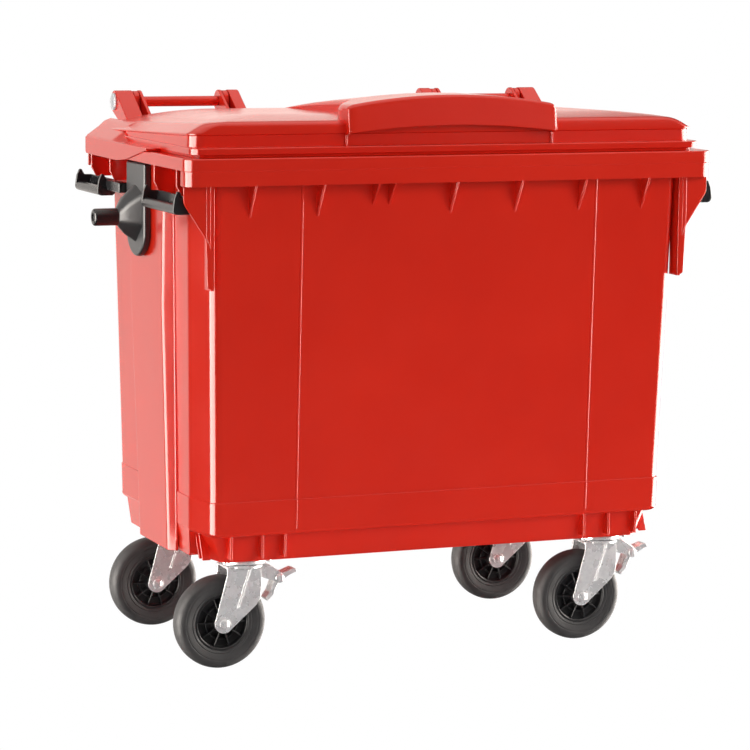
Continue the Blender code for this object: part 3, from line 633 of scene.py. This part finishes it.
def lid_skin():
    """Underside, lip, ledge on the rim, dark groove, upright edge and the crowned top."""
    rings = [
        lid_part(1.1650, 0.190, CROWN_TILT),
        lid_part(1.1580, 0.100, EDGE_TILT),
        lid_part(1.1480, 0.059, lowest=1.112),
        wall_section(1.1040, WALL + 0.0075),
        wall_section(1.0790, WALL + 0.0065),
        wall_section(1.0790, WALL + 0.0030),
        wall_section(RIM_TOP + GAP, WALL + 0.0030),
        lid_part(RIM_TOP + GAP, 0.0300, 0),
        lid_part(1.0980, 0.0290, 0),
        lid_part(1.0985, 0.0205, 0),
        lid_part(1.1105, 0.0200, 0),
        lid_part(1.1120, 0.0215, 0),
        lid_part(1.1120, 0.0520, 0, end_inset=0.0270),
        lid_part(1.1360, 0.0530, lowest=1.1160, end_inset=0.0285),
        lid_part(1.1375, 0.0480, lowest=1.1170, end_inset=0.0245),
        lid_part(1.1400, 0.0478, lowest=1.1180, end_inset=0.0247),
        lid_part(1.1420, 0.0478, lowest=1.1190, end_inset=0.0262),
        lid_part(1.1520, 0.0478, lowest=1.1230, front_r=0.032, end_inset=0.0430),
    ]
    shoulder = ((1.1560, 0.0487, 0.0500), (1.1590, 0.0506, 0.0560), (1.1612, 0.0535, 0.0610),
                (1.1630, 0.0580, 0.0670), (1.1645, 0.0650, 0.0750))
    for step, (z, inset, end_inset) in enumerate(shoulder):
        rings.append(lid_part(z, inset, LID_TILT - 0.0004 * step, lowest=1.1240 + 0.0005 * step,
                              front_r=0.034 + 0.0015 * step, end_inset=end_inset))
    for t in (0.2, 0.4, 0.6, 0.8, 1.0):
        inset = 0.065 + t * 0.125
        z = 1.1645 + 0.0105 * math.sin(t * math.pi / 2)
        rings.append(lid_part(z, inset, 0.043 - 0.023 * t, front_r=0.042))
    skin = made_loft("lid_skin", rings, RED, "lid_body", 0.0010, 2, 38)
    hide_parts("lid")


HOOD_HALF_X = 0.2385
HOOD_ARCH = 0.0210
VISOR_FRONT, POCKET_BACK = -0.3615, -0.3220
VISOR_WALL = 0.0050
VISOR_EDGE_R = 0.0090
LEDGE_TOP = 1.112


def hood_top(x):
    return HOOD_TOP - 0.0002 - HOOD_ARCH * (x / HOOD_HALF_X) ** 2


def visor_low(x):
    return 1.138 + 0.0150 * (1 - (x / HOOD_HALF_X) ** 2)


def visor_front(z):
    """The visor leans back towards its top."""
    return VISOR_FRONT + 0.0090 * max(0.0, z - 1.138) / 0.075


def visor():
    """Arched front of the hood, rounded along its top and at both ends."""
    rings = []
    half = HOOD_HALF_X - 0.0005
    corner = 0.014
    for step in range(41):
        x = half * math.sin(math.pi / 2 * (-1 + 2 * step / 40))
        end = max(0.0, abs(x) - (half - corner)) / corner
        curl = corner * (1 - math.sqrt(max(0.0, 1 - end ** 2)))
        top = hood_top(x) - 0.55 * curl
        low = visor_low(x)
        front = visor_front(low) + 0.30 * curl
        crest = visor_front(top) + 0.30 * curl
        outer = [(front + 0.0012, low - 0.0004), (front, low + 0.0010)]
        outer += arc((crest + VISOR_EDGE_R, top - VISOR_EDGE_R), VISOR_EDGE_R, 180, 90, 9)
        outer += [(-0.3180, top), (-0.3180, top - VISOR_WALL)]
        outer += arc((crest + VISOR_EDGE_R, top - VISOR_EDGE_R), VISOR_EDGE_R - VISOR_WALL, 90, 180, 5)
        outer += [(front + VISOR_WALL, low + 0.0010), (front + VISOR_WALL - 0.0012, low - 0.0004)]
        rings.append([(x, y, z) for y, z in outer])
    made_loft("hood_visor", rings, RED, "lid_body", smooth=38)


def hood_pocket():
    """Back wall of the hand gap under the visor, and the two legs that close its ends."""
    bm = bmesh.new()
    half = HOOD_HALF_X - 0.0015
    top = hood_top(half) - 0.012
    add_box(bm, (-half, POCKET_BACK, 1.107), (half, POCKET_BACK + 0.0055, top))
    made("hood_pocket_back", bm, RED, "lid_body", 0.0008, 2)
    for side, word in SIDES:
        outline = [(-0.3395, LEDGE_TOP - 0.002), (POCKET_BACK + 0.004, LEDGE_TOP - 0.002),
                   (POCKET_BACK + 0.004, top), (-0.3480, top), (-0.3600, 1.1420), (-0.3600, 1.1395),
                   (-0.3395, 1.1340)]
        made_plate("hood_leg_" + word, outline, "X", side * (HOOD_HALF_X - 0.0029), 0.0046, RED, "lid_body",
                   0.0014, 3)


def hood_back():
    """The hood behind its visor, which narrows and then falls as a ramp into the lid."""
    rings = []
    stations = ((-0.3265, 0.2375, 1.140), (-0.3050, 0.2375, 1.152), (-0.2900, 0.2365, 1.160),
                (-0.2780, 0.2290, 1.162), (-0.2600, 0.2130, 1.164), (-0.2420, 0.1970, 1.166),
                (-0.2300, 0.1900, 1.166), (-0.2150, 0.1880, 1.1655), (-0.1200, 0.1872, 1.1620),
                (0.0000, 0.1868, 1.1590), (0.1100, 0.1864, 1.1570), (0.1780, 0.1860, 1.1560))
    for y, half, low in stations:
        run = max(0.0, (y + 0.230) / 0.408)
        fall = run * (0.7 + 0.3 * run)
        crown = HOOD_TOP - 0.0012 - (HOOD_TOP - 0.0012 - 1.1625) * fall
        arch = HOOD_ARCH * (1 - run)
        edge = 0.012 * (1 - 0.8 * run)
        shoulder = []
        for step in range(6):
            turn = math.radians(90 * step / 5)
            x = half - edge * (1 - math.cos(turn))
            shoulder.append((x, crown - arch * (x / HOOD_HALF_X) ** 2 - edge * (1 - math.sin(turn))))
        roof = [(share * half, crown - arch * (share * half / HOOD_HALF_X) ** 2)
                for share in (0.6, 0.3, 0.0, -0.3, -0.6)]
        row = [(-half, low), (half, low)] + shoulder + roof + mirrored(-1, reversed(shoulder))
        rings.append([(x, y, z) for x, z in row])
    made_loft("hood_back", rings, RED, "lid_body", smooth=50)


def side_wing(side, word):
    """Flange over the rim's rear half, and the fairing that slopes from it up to the panel."""
    skin = [(0.300, 1.062), (0.200, 1.061), (0.080, 1.060), (0.010, 1.066), (-0.130, 1.0945),
            (-0.130, 1.0985), (0.300, 1.0985)]
    flange = rounded(skin, [0.008, 0, 0.02, 0.02, 0.002, 0, 0], 4)
    made_plate("side_wing_" + word, flange, "X", side * 0.6032, 0.0024, RED, "lid_body", 0.0009, 2)
    top = RIM_TOP + GAP + 0.004
    rings = []
    for y, rise in ((-0.130, 0.0), (-0.040, 0.0012), (0.030, 0.0026), (0.050, 0.004), (0.062, 0.009),
                    (0.085, 0.024), (0.105, 0.0360), (0.115, 0.0395), (0.125, 0.040), (0.300, 0.040)):
        rings.append([
            (side * 0.545, y, top - 0.0035),
            (side * 0.6040, y, top - 0.0035),
            (side * 0.6040, y, top + 0.0010),
            (side * 0.6000, y, top + 0.0018 + 0.12 * rise),
            (side * 0.5750, y, top + 0.0022 + 0.55 * rise),
            (side * 0.5600, y, top + 0.0028 + 0.86 * rise),
            (side * 0.5450, y, top + 0.0030 + rise),
        ])
    made_loft("side_fairing_" + word, rings, RED, "lid_body", 0.0015, 3, 44)


def cheek(low_x, high_x, name):
    """Arm of the lid beside a lug."""
    eye = arc((PIVOT.y, PIVOT.z), EYE_R, 120, -60, 22)
    outline = [(0.255, 1.118), (0.2666, 1.1364)] + eye + [(0.325, 1.128), (0.305, 1.118)]
    made_plate(name, outline, "X", (low_x + high_x) / 2, high_x - low_x, RED, "lid_body", 0.0016, 3)


def make_lid():
    lid_skin()
    visor()
    hood_pocket()
    hood_back()
    near = 0.006 + 0.0015
    arms = ((LUG_X[3], 1, 0.0400, "outer"), (LUG_X[3], -1, 0.0070, "outer_inside"),
            (LUG_X[2], -1, 0.0255, "inner"), (LUG_X[2], 1, 0.0070, "inner_inside"))
    for side, word in SIDES:
        side_wing(side, word)
        for lug, way, width, place in arms:
            ends = sorted((side * (lug + way * near), side * (lug + way * (near + width))))
            cheek(*ends, "hinge_cheek_" + word + "_" + place)


def make_hinges():
    """Pins stay as the frame has them; caps and the rear handle bars are turned afresh."""
    for side, word in SIDES:
        low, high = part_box("hinge_cap_" + word)
        base = min(abs(low.x), abs(high.x))
        dome = [(0.0, 0.0062), (0.0050, 0.0061), (0.0052, 0.0055), (0.0120, 0.0053), (0.0165, 0.0043),
                (0.0188, 0.0030), (0.0195, 0.0016), (0.0195, 0.0), (0.0082, 0.0), (0.0082, 0.0042),
                (0.0, 0.0042)]
        cap = made_lathe("hinge_cap_cover_" + word, dome, (side * base, PIVOT.y, PIVOT.z), side * X, 64,
                         CAP, "lid_body", smooth=35)
        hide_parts("hinge_cap_" + word)
        low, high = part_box("rear_handle_" + word)
        half, middle = (high.x - low.x) / 2, (high.x + low.x) / 2
        bore = 0.0079
        profile = [(0.0105, half), (0.0115, half - 0.001), (0.0115, -half + 0.001), (0.0105, -half),
                   (bore, -half), (bore, half)]
        bar = made_lathe("rear_handle_bar_" + word, profile, (middle, PIVOT.y, PIVOT.z), X, 56,
                         RED, "tub_body", smooth=35)
        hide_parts("rear_handle_" + word)


# Lifting brackets and side grips

def trunnion(side, word):
    """Rounded bracket with a pentagonal boss that runs to a short ridge, and the lifting pin."""
    half = TRUNNION_HIGH.y - 0.0005
    middle = (TRUNNION_HIGH.y + TRUNNION_LOW.y) / 2
    z0 = PIVOT.z - 0.226
    back, face = TRUNNION_LOW.x, 0.5860
    outline = [(half, z0 - 0.020), (half, 1.0615), (-half, 1.0615), (-half, z0 - 0.020)]
    outline += arc((0, z0 - 0.020), 0.0650, -163, -17, 28)
    outline = [(middle + y, z) for y, z in outline]
    made_plate("trunnion_bracket_" + word, outline, "X", side * (back + face) / 2, face - back,
               DARK, "tub_body", 0.0050, 4, 50)
    foot = [(-0.054, 0.998), (-0.054, 0.930), (0.0, 0.8855), (0.054, 0.930), (0.054, 0.998), (0.0, 1.0165)]
    crown = [(-0.021, 0.955), (-0.021, 0.937), (0.0, 0.926), (0.021, 0.937), (0.021, 0.955), (0.0, 0.966)]
    rings = []
    for t, x in ((0.0, face - 0.002), (0.5, face + 0.0245), (1.0, 0.6275)):
        swell = 1 + 0.022 * math.sin(math.pi * t)
        corners = [(fy + (cy - fy) * t, fz + (cz - fz) * t) for (fy, fz), (cy, cz) in zip(foot, crown)]
        ring = rounded(corners, 0.009 + 0.004 * (1 - t), 5)
        rings.append([(side * x, middle + y * swell, z0 + (z - z0) * swell) for y, z in ring])
    made_loft("trunnion_boss_" + word, rings, DARK, "tub_body", 0.0030, 4, 30)
    tip = TRUNNION_HIGH.x
    r = 0.0185
    pin = [(0.0, tip - 0.0030), (0.0085, tip - 0.0030), (0.0095, tip), (r - 0.0045, tip),
           (r - 0.0022, tip - 0.0008), (r - 0.0006, tip - 0.0026), (r, tip - 0.005), (r, 0.600),
           (0.0, 0.600)]
    piece = made_lathe("trunnion_pin_" + word, pin, (0, middle, z0), side * X, 64,
                       BLACK, "tub_body", smooth=35)
    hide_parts("trunnion_" + word)


def side_grip(side, node):
    """Scoop-shaped grip: a J section along the end wall, with a raised lip at each end."""
    low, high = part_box(node)
    word = node[10:]
    back_x, bar_r, top = min(abs(low.x), abs(high.x)), 0.0105, 1.012
    bar = (0.6075, low.z + bar_r)
    start = low.y if node.startswith("side_grip_front") else 0.165
    back = [(back_x, top), (back_x, low.z + 0.0050), (back_x + 0.0055, low.z)]
    inside = [(0.6010, 0.9860), (0.5870, 0.9860), (0.5825, top)]
    hook = back + arc(bar, bar_r, -90, 90, 20) + inside
    scoop = made_plate("grip_scoop_" + word, mirrored(side, hook), "Y", (start + high.y) / 2,
                       high.y - start - 0.001, BLACK, "tub_body", 0.0008, 2, 44)
    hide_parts(node)
    lip = back + arc(bar, bar_r, -90, 0, 12)
    lip += [(0.6165, 1.0010), (0.6150, 1.0105), (0.6090, high.z - 0.0003), (0.6040, high.z - 0.0003),
            (0.5975, 1.0125)]
    for y, place in ((start + 0.0035, "a"), (high.y - 0.0035, "b")):
        made_plate("grip_lip_" + word + "_" + place, mirrored(side, rounded(lip, 0.0015, 2)), "Y", y, 0.0070,
                   BLACK, "tub_body", 0.0024, 3, 40)
    if start > low.y:
        bm = bmesh.new()
        near, far = sorted((side * (back_x + 0.0005), side * 0.5995))
        add_box(bm, (near, low.y + 0.0005, 0.9895), (far, start + 0.002, top - 0.0005))
        made("grip_foot_" + word, bm, BLACK, "tub_body", 0.0030, 3)


# Casters

TRAIL = 0.052
WHEEL_R = 0.100


def fork_leg(bm, at, y):
    """Pressed leg, broad at the top and tapering to a round boss at the axle."""
    boss = arc((-TRAIL, WHEEL_R), 0.0205, 172, 320, 22)
    rear = [(0.020, 0.136), (0.029, 0.150), (0.032, 0.176), (0.030, 0.2190)]
    outline = [(-0.045, 0.2190), (-0.045, 0.2050)] + boss + rear
    add_prism(bm, [(at.x + x, z) for x, z in outline], "Y", at.y + y, 0.0040)


def fork(at, braked, word):
    body = "fork_" + word + "_body"
    crown = rounded([(-0.047, -0.0335), (0.032, -0.0335), (0.032, 0.0335), (-0.047, 0.0335)], 0.006)
    outline = [(at.x + x, at.y + y) for x, y in crown]
    top = made_plate("fork_crown_" + word, outline, "Z", 0.2191, 0.0042, ZINC, body, 0.0010, 2)
    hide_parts("fork_" + word)
    bm = bmesh.new()
    for y in (-0.0315, 0.0315):
        fork_leg(bm, at, y)
        crease = [(0.0030, 0.2150), (0.0085, 0.2150), (-0.0195, 0.1310), (-0.0235, 0.1330)]
        add_prism(bm, [(at.x + x, z) for x, z in rounded(crease, 0.0015)], "Y",
                  at.y + y + math.copysign(0.0018, y), 0.0024)
    made("fork_legs_" + word, bm, ZINC, body, 0.0014, 3, 40)
    bm = bmesh.new()
    for y in (-0.0338, 0.0338):
        dish = [(0.0, 0.0006), (0.0135, 0.0006), (0.0150, 0.0), (0.0150, -0.0010), (0.0, -0.0010)]
        way = -Y if y < 0 else Y
        add_lathe(bm, dish, (at.x - TRAIL, at.y + y, WHEEL_R), way, 40)
    made("fork_boss_" + word, bm, ZINC, body, smooth=35)
    ring = [(0.0, 0.2208), (0.0440, 0.2208), (0.0440, 0.2172), (0.0420, 0.2168), (0.0, 0.2168)]
    made_lathe("fork_race_seat_" + word, ring, (at.x, at.y, 0), Z, 64, ZINC, body, smooth=35)
    if braked:
        ear = [(0.020, 0.2200), (0.052, 0.2200), (0.080, 0.2010), (0.087, 0.1930), (0.087, 0.1830),
               (0.077, 0.1780), (0.030, 0.1950), (0.020, 0.2000)]
        bm = bmesh.new()
        for y in (-0.0180, 0.0180):
            plan = [(at.x + x, z) for x, z in rounded(ear, 0.004)]
            add_prism(bm, plan, "Y", at.y + y, 0.003)
        add_box(bm, (at.x + 0.015, at.y - 0.0190, 0.2174), (at.x + 0.050, at.y + 0.0190, 0.2207))
        made("brake_ears_" + word, bm, ZINC, body, 0.0008, 2, 40)


def race(at, word):
    """Swivel ball race: pressed rings with the dark seal between them."""
    high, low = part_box("swivel_race_" + word)[1].z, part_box("swivel_race_" + word)[0].z
    upper = [(0.0460, high), (0.0512, high - 0.0015), (0.0520, high - 0.004), (0.0520, high - 0.0075),
             (0.0505, high - 0.0088), (0.0, high - 0.0088), (0.0, high)]
    piece = made_lathe("race_upper_" + word, upper, (at.x, at.y, 0), Z, 72, ZINC, "tub_body", smooth=40)
    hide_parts("swivel_race_" + word)
    seal = [(0.0492, high - 0.0086), (0.0492, high - 0.0106), (0.0, high - 0.0106), (0.0, high - 0.0086)]
    made_lathe("race_seal_" + word, seal, (at.x, at.y, 0), Z, 72, BLACK, "tub_body", smooth=40)
    lower = [(0.0500, high - 0.0105), (0.0485, high - 0.0125), (0.0465, low), (0.0082, low),
             (0.0082, high - 0.0105)]
    made_lathe("race_lower_" + word, lower, (at.x, at.y, 0), Z, 72, ZINC, "tub_body", smooth=40)


def tyre(centre, word, body):
    """Solid tyre: a flat tread with soft shoulders and two moulded rings on each wall."""
    wall = [(0.0604, 0.0205), (0.0640, 0.0222), (0.0662, 0.0226), (0.0672, 0.0219), (0.0682, 0.0226),
            (0.0760, 0.0243), (0.0800, 0.0249), (0.0812, 0.0243), (0.0824, 0.0250), (0.0850, 0.0249),
            (0.0890, 0.0240), (0.0925, 0.0222), (0.0952, 0.0196), (0.0973, 0.0164), (0.0989, 0.0122),
            (0.0998, 0.0070)]
    profile = wall + [(WHEEL_R, 0.0)] + [(r, -h) for r, h in reversed(wall)]
    piece = made_lathe("tyre_band_" + word, profile, centre, Y, 128, RUBBER, body, smooth=50)
    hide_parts("tyre_" + word)


def hub(centre, word, body):
    """Wheel centre: rim, dished web on both sides, bearing boss and ten radial ribs a side."""
    profile = [(0.0603, 0.0205), (0.0590, 0.0212), (0.0560, 0.0212), (0.0545, 0.0200), (0.0530, 0.0070),
               (0.0500, 0.0050), (0.0290, 0.0050), (0.0215, 0.0080), (0.0200, 0.0268), (0.0192, 0.0275),
               (0.0065, 0.0275)]
    profile += [(r, -h) for r, h in reversed(profile)]
    piece = made_lathe("wheel_centre_" + word, profile, centre, Y, 96, HUB, body, smooth=38)
    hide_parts("wheel_hub_" + word)
    bm = bmesh.new()
    for side in (-1, 1):
        for number in range(10):
            turn = Matrix.Rotation(2 * math.pi * number / 10, 4, "Y")
            outline = [(0.019, 0.0045), (0.0555, 0.0045), (0.0548, 0.0165), (0.0190, 0.0240)]
            rings = []
            for half in (-0.0014, 0.0014):
                rings.append([Vector(centre) + turn @ Vector((r, side * h, half)) for r, h in outline])
            add_loft(bm, rings)
        ring = [(0.0345, side * 0.0040), (0.0345, side * 0.0150), (0.0352, side * 0.0158),
                (0.0366, side * 0.0158), (0.0373, side * 0.0150), (0.0373, side * 0.0040)]
        add_lathe(bm, ring, centre, Y, 80)
    made("wheel_ribs_" + word, bm, HUB, body, 0.0004, 1, 50)


def axle(centre, word, body):
    """Round-headed bolt in front and a chamfered nut behind."""
    head = [(0.0, 0.0405), (0.0040, 0.0403), (0.0078, 0.0394), (0.0100, 0.0378), (0.0105, 0.0360),
            (0.0105, 0.0345), (0.0059, 0.0345), (0.0059, -0.0427), (0.0050, -0.0435), (0.0, -0.0435)]
    bolt = made_lathe("axle_pin_" + word, head, centre, -Y, 48, ZINC, body, smooth=35)
    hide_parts("axle_bolt_" + word)
    hexagon = [(0.0103, 0.0405), (0.0108, 0.0392), (0.0108, 0.0340), (0.0062, 0.0340), (0.0062, 0.0405)]
    nut = made_lathe("axle_hexagon_nut_" + word, hexagon, centre, Y, 6, ZINC, body, 0.0006, 2, 25)
    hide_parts("axle_nut_" + word)


def brake(at, word):
    """Foot pedal that presses its shoe on the tread, and its round-headed pivot."""
    body = "brake_" + word + "_body"
    tread = [(0.070, 0.1965), (0.090, 0.1985), (0.110, 0.2060), (0.118, 0.2040), (0.119, 0.1990)]
    shoe = [(0.066, 0.1520), (0.052, 0.1380), (0.047, 0.1440), (0.058, 0.1580), (0.067, 0.1830)]
    outline = tread + [(0.102, 0.1920), (0.086, 0.1820), (0.077, 0.1780)] + shoe
    plan = [(at.x + x, z) for x, z in rounded(outline, 0.003, 4)]
    pedal = made_plate("brake_lever_" + word, plan, "Y", at.y, 0.030, ZINC, body, 0.0018, 3, 30)
    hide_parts("brake_pedal_" + word)
    head = [(0.0, 0.0270), (0.0040, 0.0268), (0.0078, 0.0258), (0.0097, 0.0240), (0.0100, 0.0225),
            (0.0100, 0.0200), (0.0040, 0.0200), (0.0040, -0.0210), (0.0, -0.0210)]
    pin = made_lathe("brake_pivot_" + word, head, (at.x + 0.077, at.y, 0.188), -Y, 40,
                     ZINC, "fork_" + word + "_body", smooth=35)
    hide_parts("brake_pin_" + word)


def make_casters():
    for word, braked in CASTERS:
        at = JOINTS["swivel_" + word]
        centre = JOINTS["wheel_" + word]
        fork(at, braked, word)
        race(at, word)
        tyre(centre, word, "wheel_" + word + "_body")
        hub(centre, word, "wheel_" + word + "_body")
        axle(centre, word, "fork_" + word + "_body")
        if braked:
            brake(at, word)


# Frame nodes that stay: better material and softened edges

def keep_nodes():
    finishes = (("caster_plate", ZINC, 0.0008), ("kingpin", ZINC, 0.0006), ("stud_plate", ZINC, 0.0006),
                ("hinge_pin", ZINC, 0.0006), ("drain_plug", BLACK, 0.0008))
    for name, node in NODES.items():
        for start, material, width in finishes:
            if name.startswith(start):
                node.data.materials.clear()
                node.data.materials.append(material)
                soften(node, width, 2, 40)


# Studio

WARM_WHITE = (1.0, 0.93, 0.86, 1.0)


def area_light(name, place, aim, size, size_y, power, shows_in_gloss):
    data = bpy.data.lights.new(name, "AREA")
    data.shape = "RECTANGLE"
    data.size = size
    data.size_y = size_y
    data.energy = power
    light = bpy.data.objects.new(name, data)
    bpy.context.scene.collection.objects.link(light)
    light.location = place
    light.rotation_mode = "QUATERNION"
    light.rotation_quaternion = (Vector(aim) - Vector(place)).to_track_quat("-Z", "Y")
    light.visible_glossy = shows_in_gloss
    light.visible_camera = False


def studio():
    """White cyclorama behind and beside the bin, darker room in front, soft lights, pale floor."""
    world = bpy.data.worlds.new("studio")
    bpy.context.scene.world = world
    world.use_nodes = True
    tree = world.node_tree
    tree.nodes.clear()

    def add(kind, **settings):
        node = tree.nodes.new(kind)
        for key, value in settings.items():
            setattr(node, key, value)
        return node

    def smooth_step(value, low, high, amount):
        node = add("ShaderNodeMapRange", interpolation_type="SMOOTHSTEP")
        node.inputs["From Min"].default_value = low
        node.inputs["From Max"].default_value = high
        node.inputs["To Max"].default_value = amount
        tree.links.new(value, node.inputs["Value"])
        return node.outputs[0]

    def math_node(operation, first, second=None):
        node = add("ShaderNodeMath", operation=operation)
        for socket, value in zip(node.inputs, (first, second)):
            if isinstance(value, (int, float)):
                socket.default_value = value
            elif value is not None:
                tree.links.new(value, socket)
        return node.outputs[0]

    def backdrop(strength, colour=(1.0, 1.0, 1.0, 1.0)):
        node = add("ShaderNodeBackground")
        node.inputs["Color"].default_value = colour
        if isinstance(strength, (int, float)):
            node.inputs["Strength"].default_value = strength
        else:
            tree.links.new(strength, node.inputs["Strength"])
        return node.outputs[0]

    def either(test, no, yes):
        node = add("ShaderNodeMixShader")
        for socket, value in zip(node.inputs, (test, no, yes)):
            tree.links.new(value, socket)
        return node.outputs[0]

    coordinates = add("ShaderNodeTexCoord")
    split = add("ShaderNodeSeparateXYZ")
    tree.links.new(coordinates.outputs["Generated"], split.inputs[0])
    across, along, upward = split.outputs
    white_wall = smooth_step(along, 0.82, 0.91, 1.20)
    box_height = math_node("SUBTRACT", 1.0, smooth_step(math_node("ABSOLUTE", upward), 0.45, 0.60, 1.0))
    side_boxes = smooth_step(math_node("ABSOLUTE", across), 0.80, 0.88, 18.0)
    side_boxes = math_node("MULTIPLY", side_boxes, box_height)
    overhead = smooth_step(upward, 0.45, 0.80, 1.2)
    gloss = math_node("ADD", math_node("ADD", white_wall, side_boxes), math_node("ADD", overhead, 0.05))
    paths = add("ShaderNodeLightPath")
    reflected = backdrop(gloss, WARM_WHITE)
    world_light = either(paths.outputs["Is Glossy Ray"], backdrop(0.30), reflected)
    final = either(paths.outputs["Is Camera Ray"], world_light, backdrop(1.0))
    output = add("ShaderNodeOutputWorld")
    tree.links.new(final, output.inputs["Surface"])

    area_light("key_right", (3.4, -5.0, 2.6), (0.1, 0, 0.6), 3.0, 3.0, 185, False)
    area_light("fill_front", (-2.5, -5.0, 1.8), (0, 0, 0.6), 3.5, 2.5, 12, False)
    area_light("top", (0.3, 0.3, 4.2), (0, 0, 0.8), 3.5, 3.0, 60, False)
    area_light("left_wall", (-4.2, 0.8, 1.8), (-0.5, 0, 0.7), 3.0, 3.0, 110, False)

    floor_mesh = bpy.data.meshes.new("floor")
    bm = bmesh.new()
    bmesh.ops.create_circle(bm, cap_ends=True, radius=3.2, segments=96)
    bm.to_mesh(floor_mesh)
    bm.free()
    floor = bpy.data.objects.new("floor", floor_mesh)
    bpy.context.scene.collection.objects.link(floor)
    n = Nodes("pale_floor")
    drift = n.spread(n.noise(0.8, 2.0), 0.3, 0.7)
    colour = n.mix(drift, (0.86, 0.86, 0.86), (0.89, 0.89, 0.89))
    rough = n.spread(n.noise(2.0, 2.0), 0.3, 0.7, 0.75, 0.85)
    floor_mesh.materials.append(n.finish(colour, rough, n.bump(n.noise(200.0, 2.0), 0.0002, 0.2)))
    n.shader.inputs["Emission Color"].default_value = (1.0, 1.0, 1.0, 1.0)
    n.shader.inputs["Emission Strength"].default_value = 0.28
    away = n.add("ShaderNodeVectorMath", operation="LENGTH")
    n.link(n.place, away.inputs[0])
    n.link(n.spread(away.outputs["Value"], 1.1, 3.0, 1.0, 0.0), n.shader.inputs["Alpha"])
    floor.visible_camera = False
    floor.visible_glossy = False


def camera():
    """A long lens from the front left, a little above the lid."""
    yaw, pitch, roll = math.radians(22.4254), math.radians(7.8362), math.radians(0.5901)
    ahead = Vector((math.sin(yaw) * math.cos(pitch), math.cos(yaw) * math.cos(pitch), -math.sin(pitch)))
    level = Vector((math.cos(yaw), -math.sin(yaw), 0))
    upright = level.cross(ahead)
    right = level * math.cos(roll) + upright * math.sin(roll)
    up = -level * math.sin(roll) + upright * math.cos(roll)
    data = bpy.data.cameras.new("view")
    data.sensor_width = 36.0
    data.lens = 148.24
    data.clip_start = 0.1
    data.clip_end = 100.0
    viewer = bpy.data.objects.new("view", data)
    bpy.context.scene.collection.objects.link(viewer)
    turn = Matrix((right, up, -ahead)).transposed()
    viewer.matrix_world = Matrix.Translation((-2.6213, -6.2862, 1.5144)) @ turn.to_4x4()
    bpy.context.scene.camera = viewer
    bpy.context.scene.view_settings.view_transform = "Standard"
    bpy.context.scene.view_settings.look = "None"


make_tub()
make_lid()
make_hinges()
for SIDE, WORD in SIDES:
    trunnion(SIDE, WORD)
    side_grip(SIDE, "side_grip_front_" + WORD)
    side_grip(SIDE, "side_grip_rear_" + WORD)
make_casters()
keep_nodes()
studio()
camera()
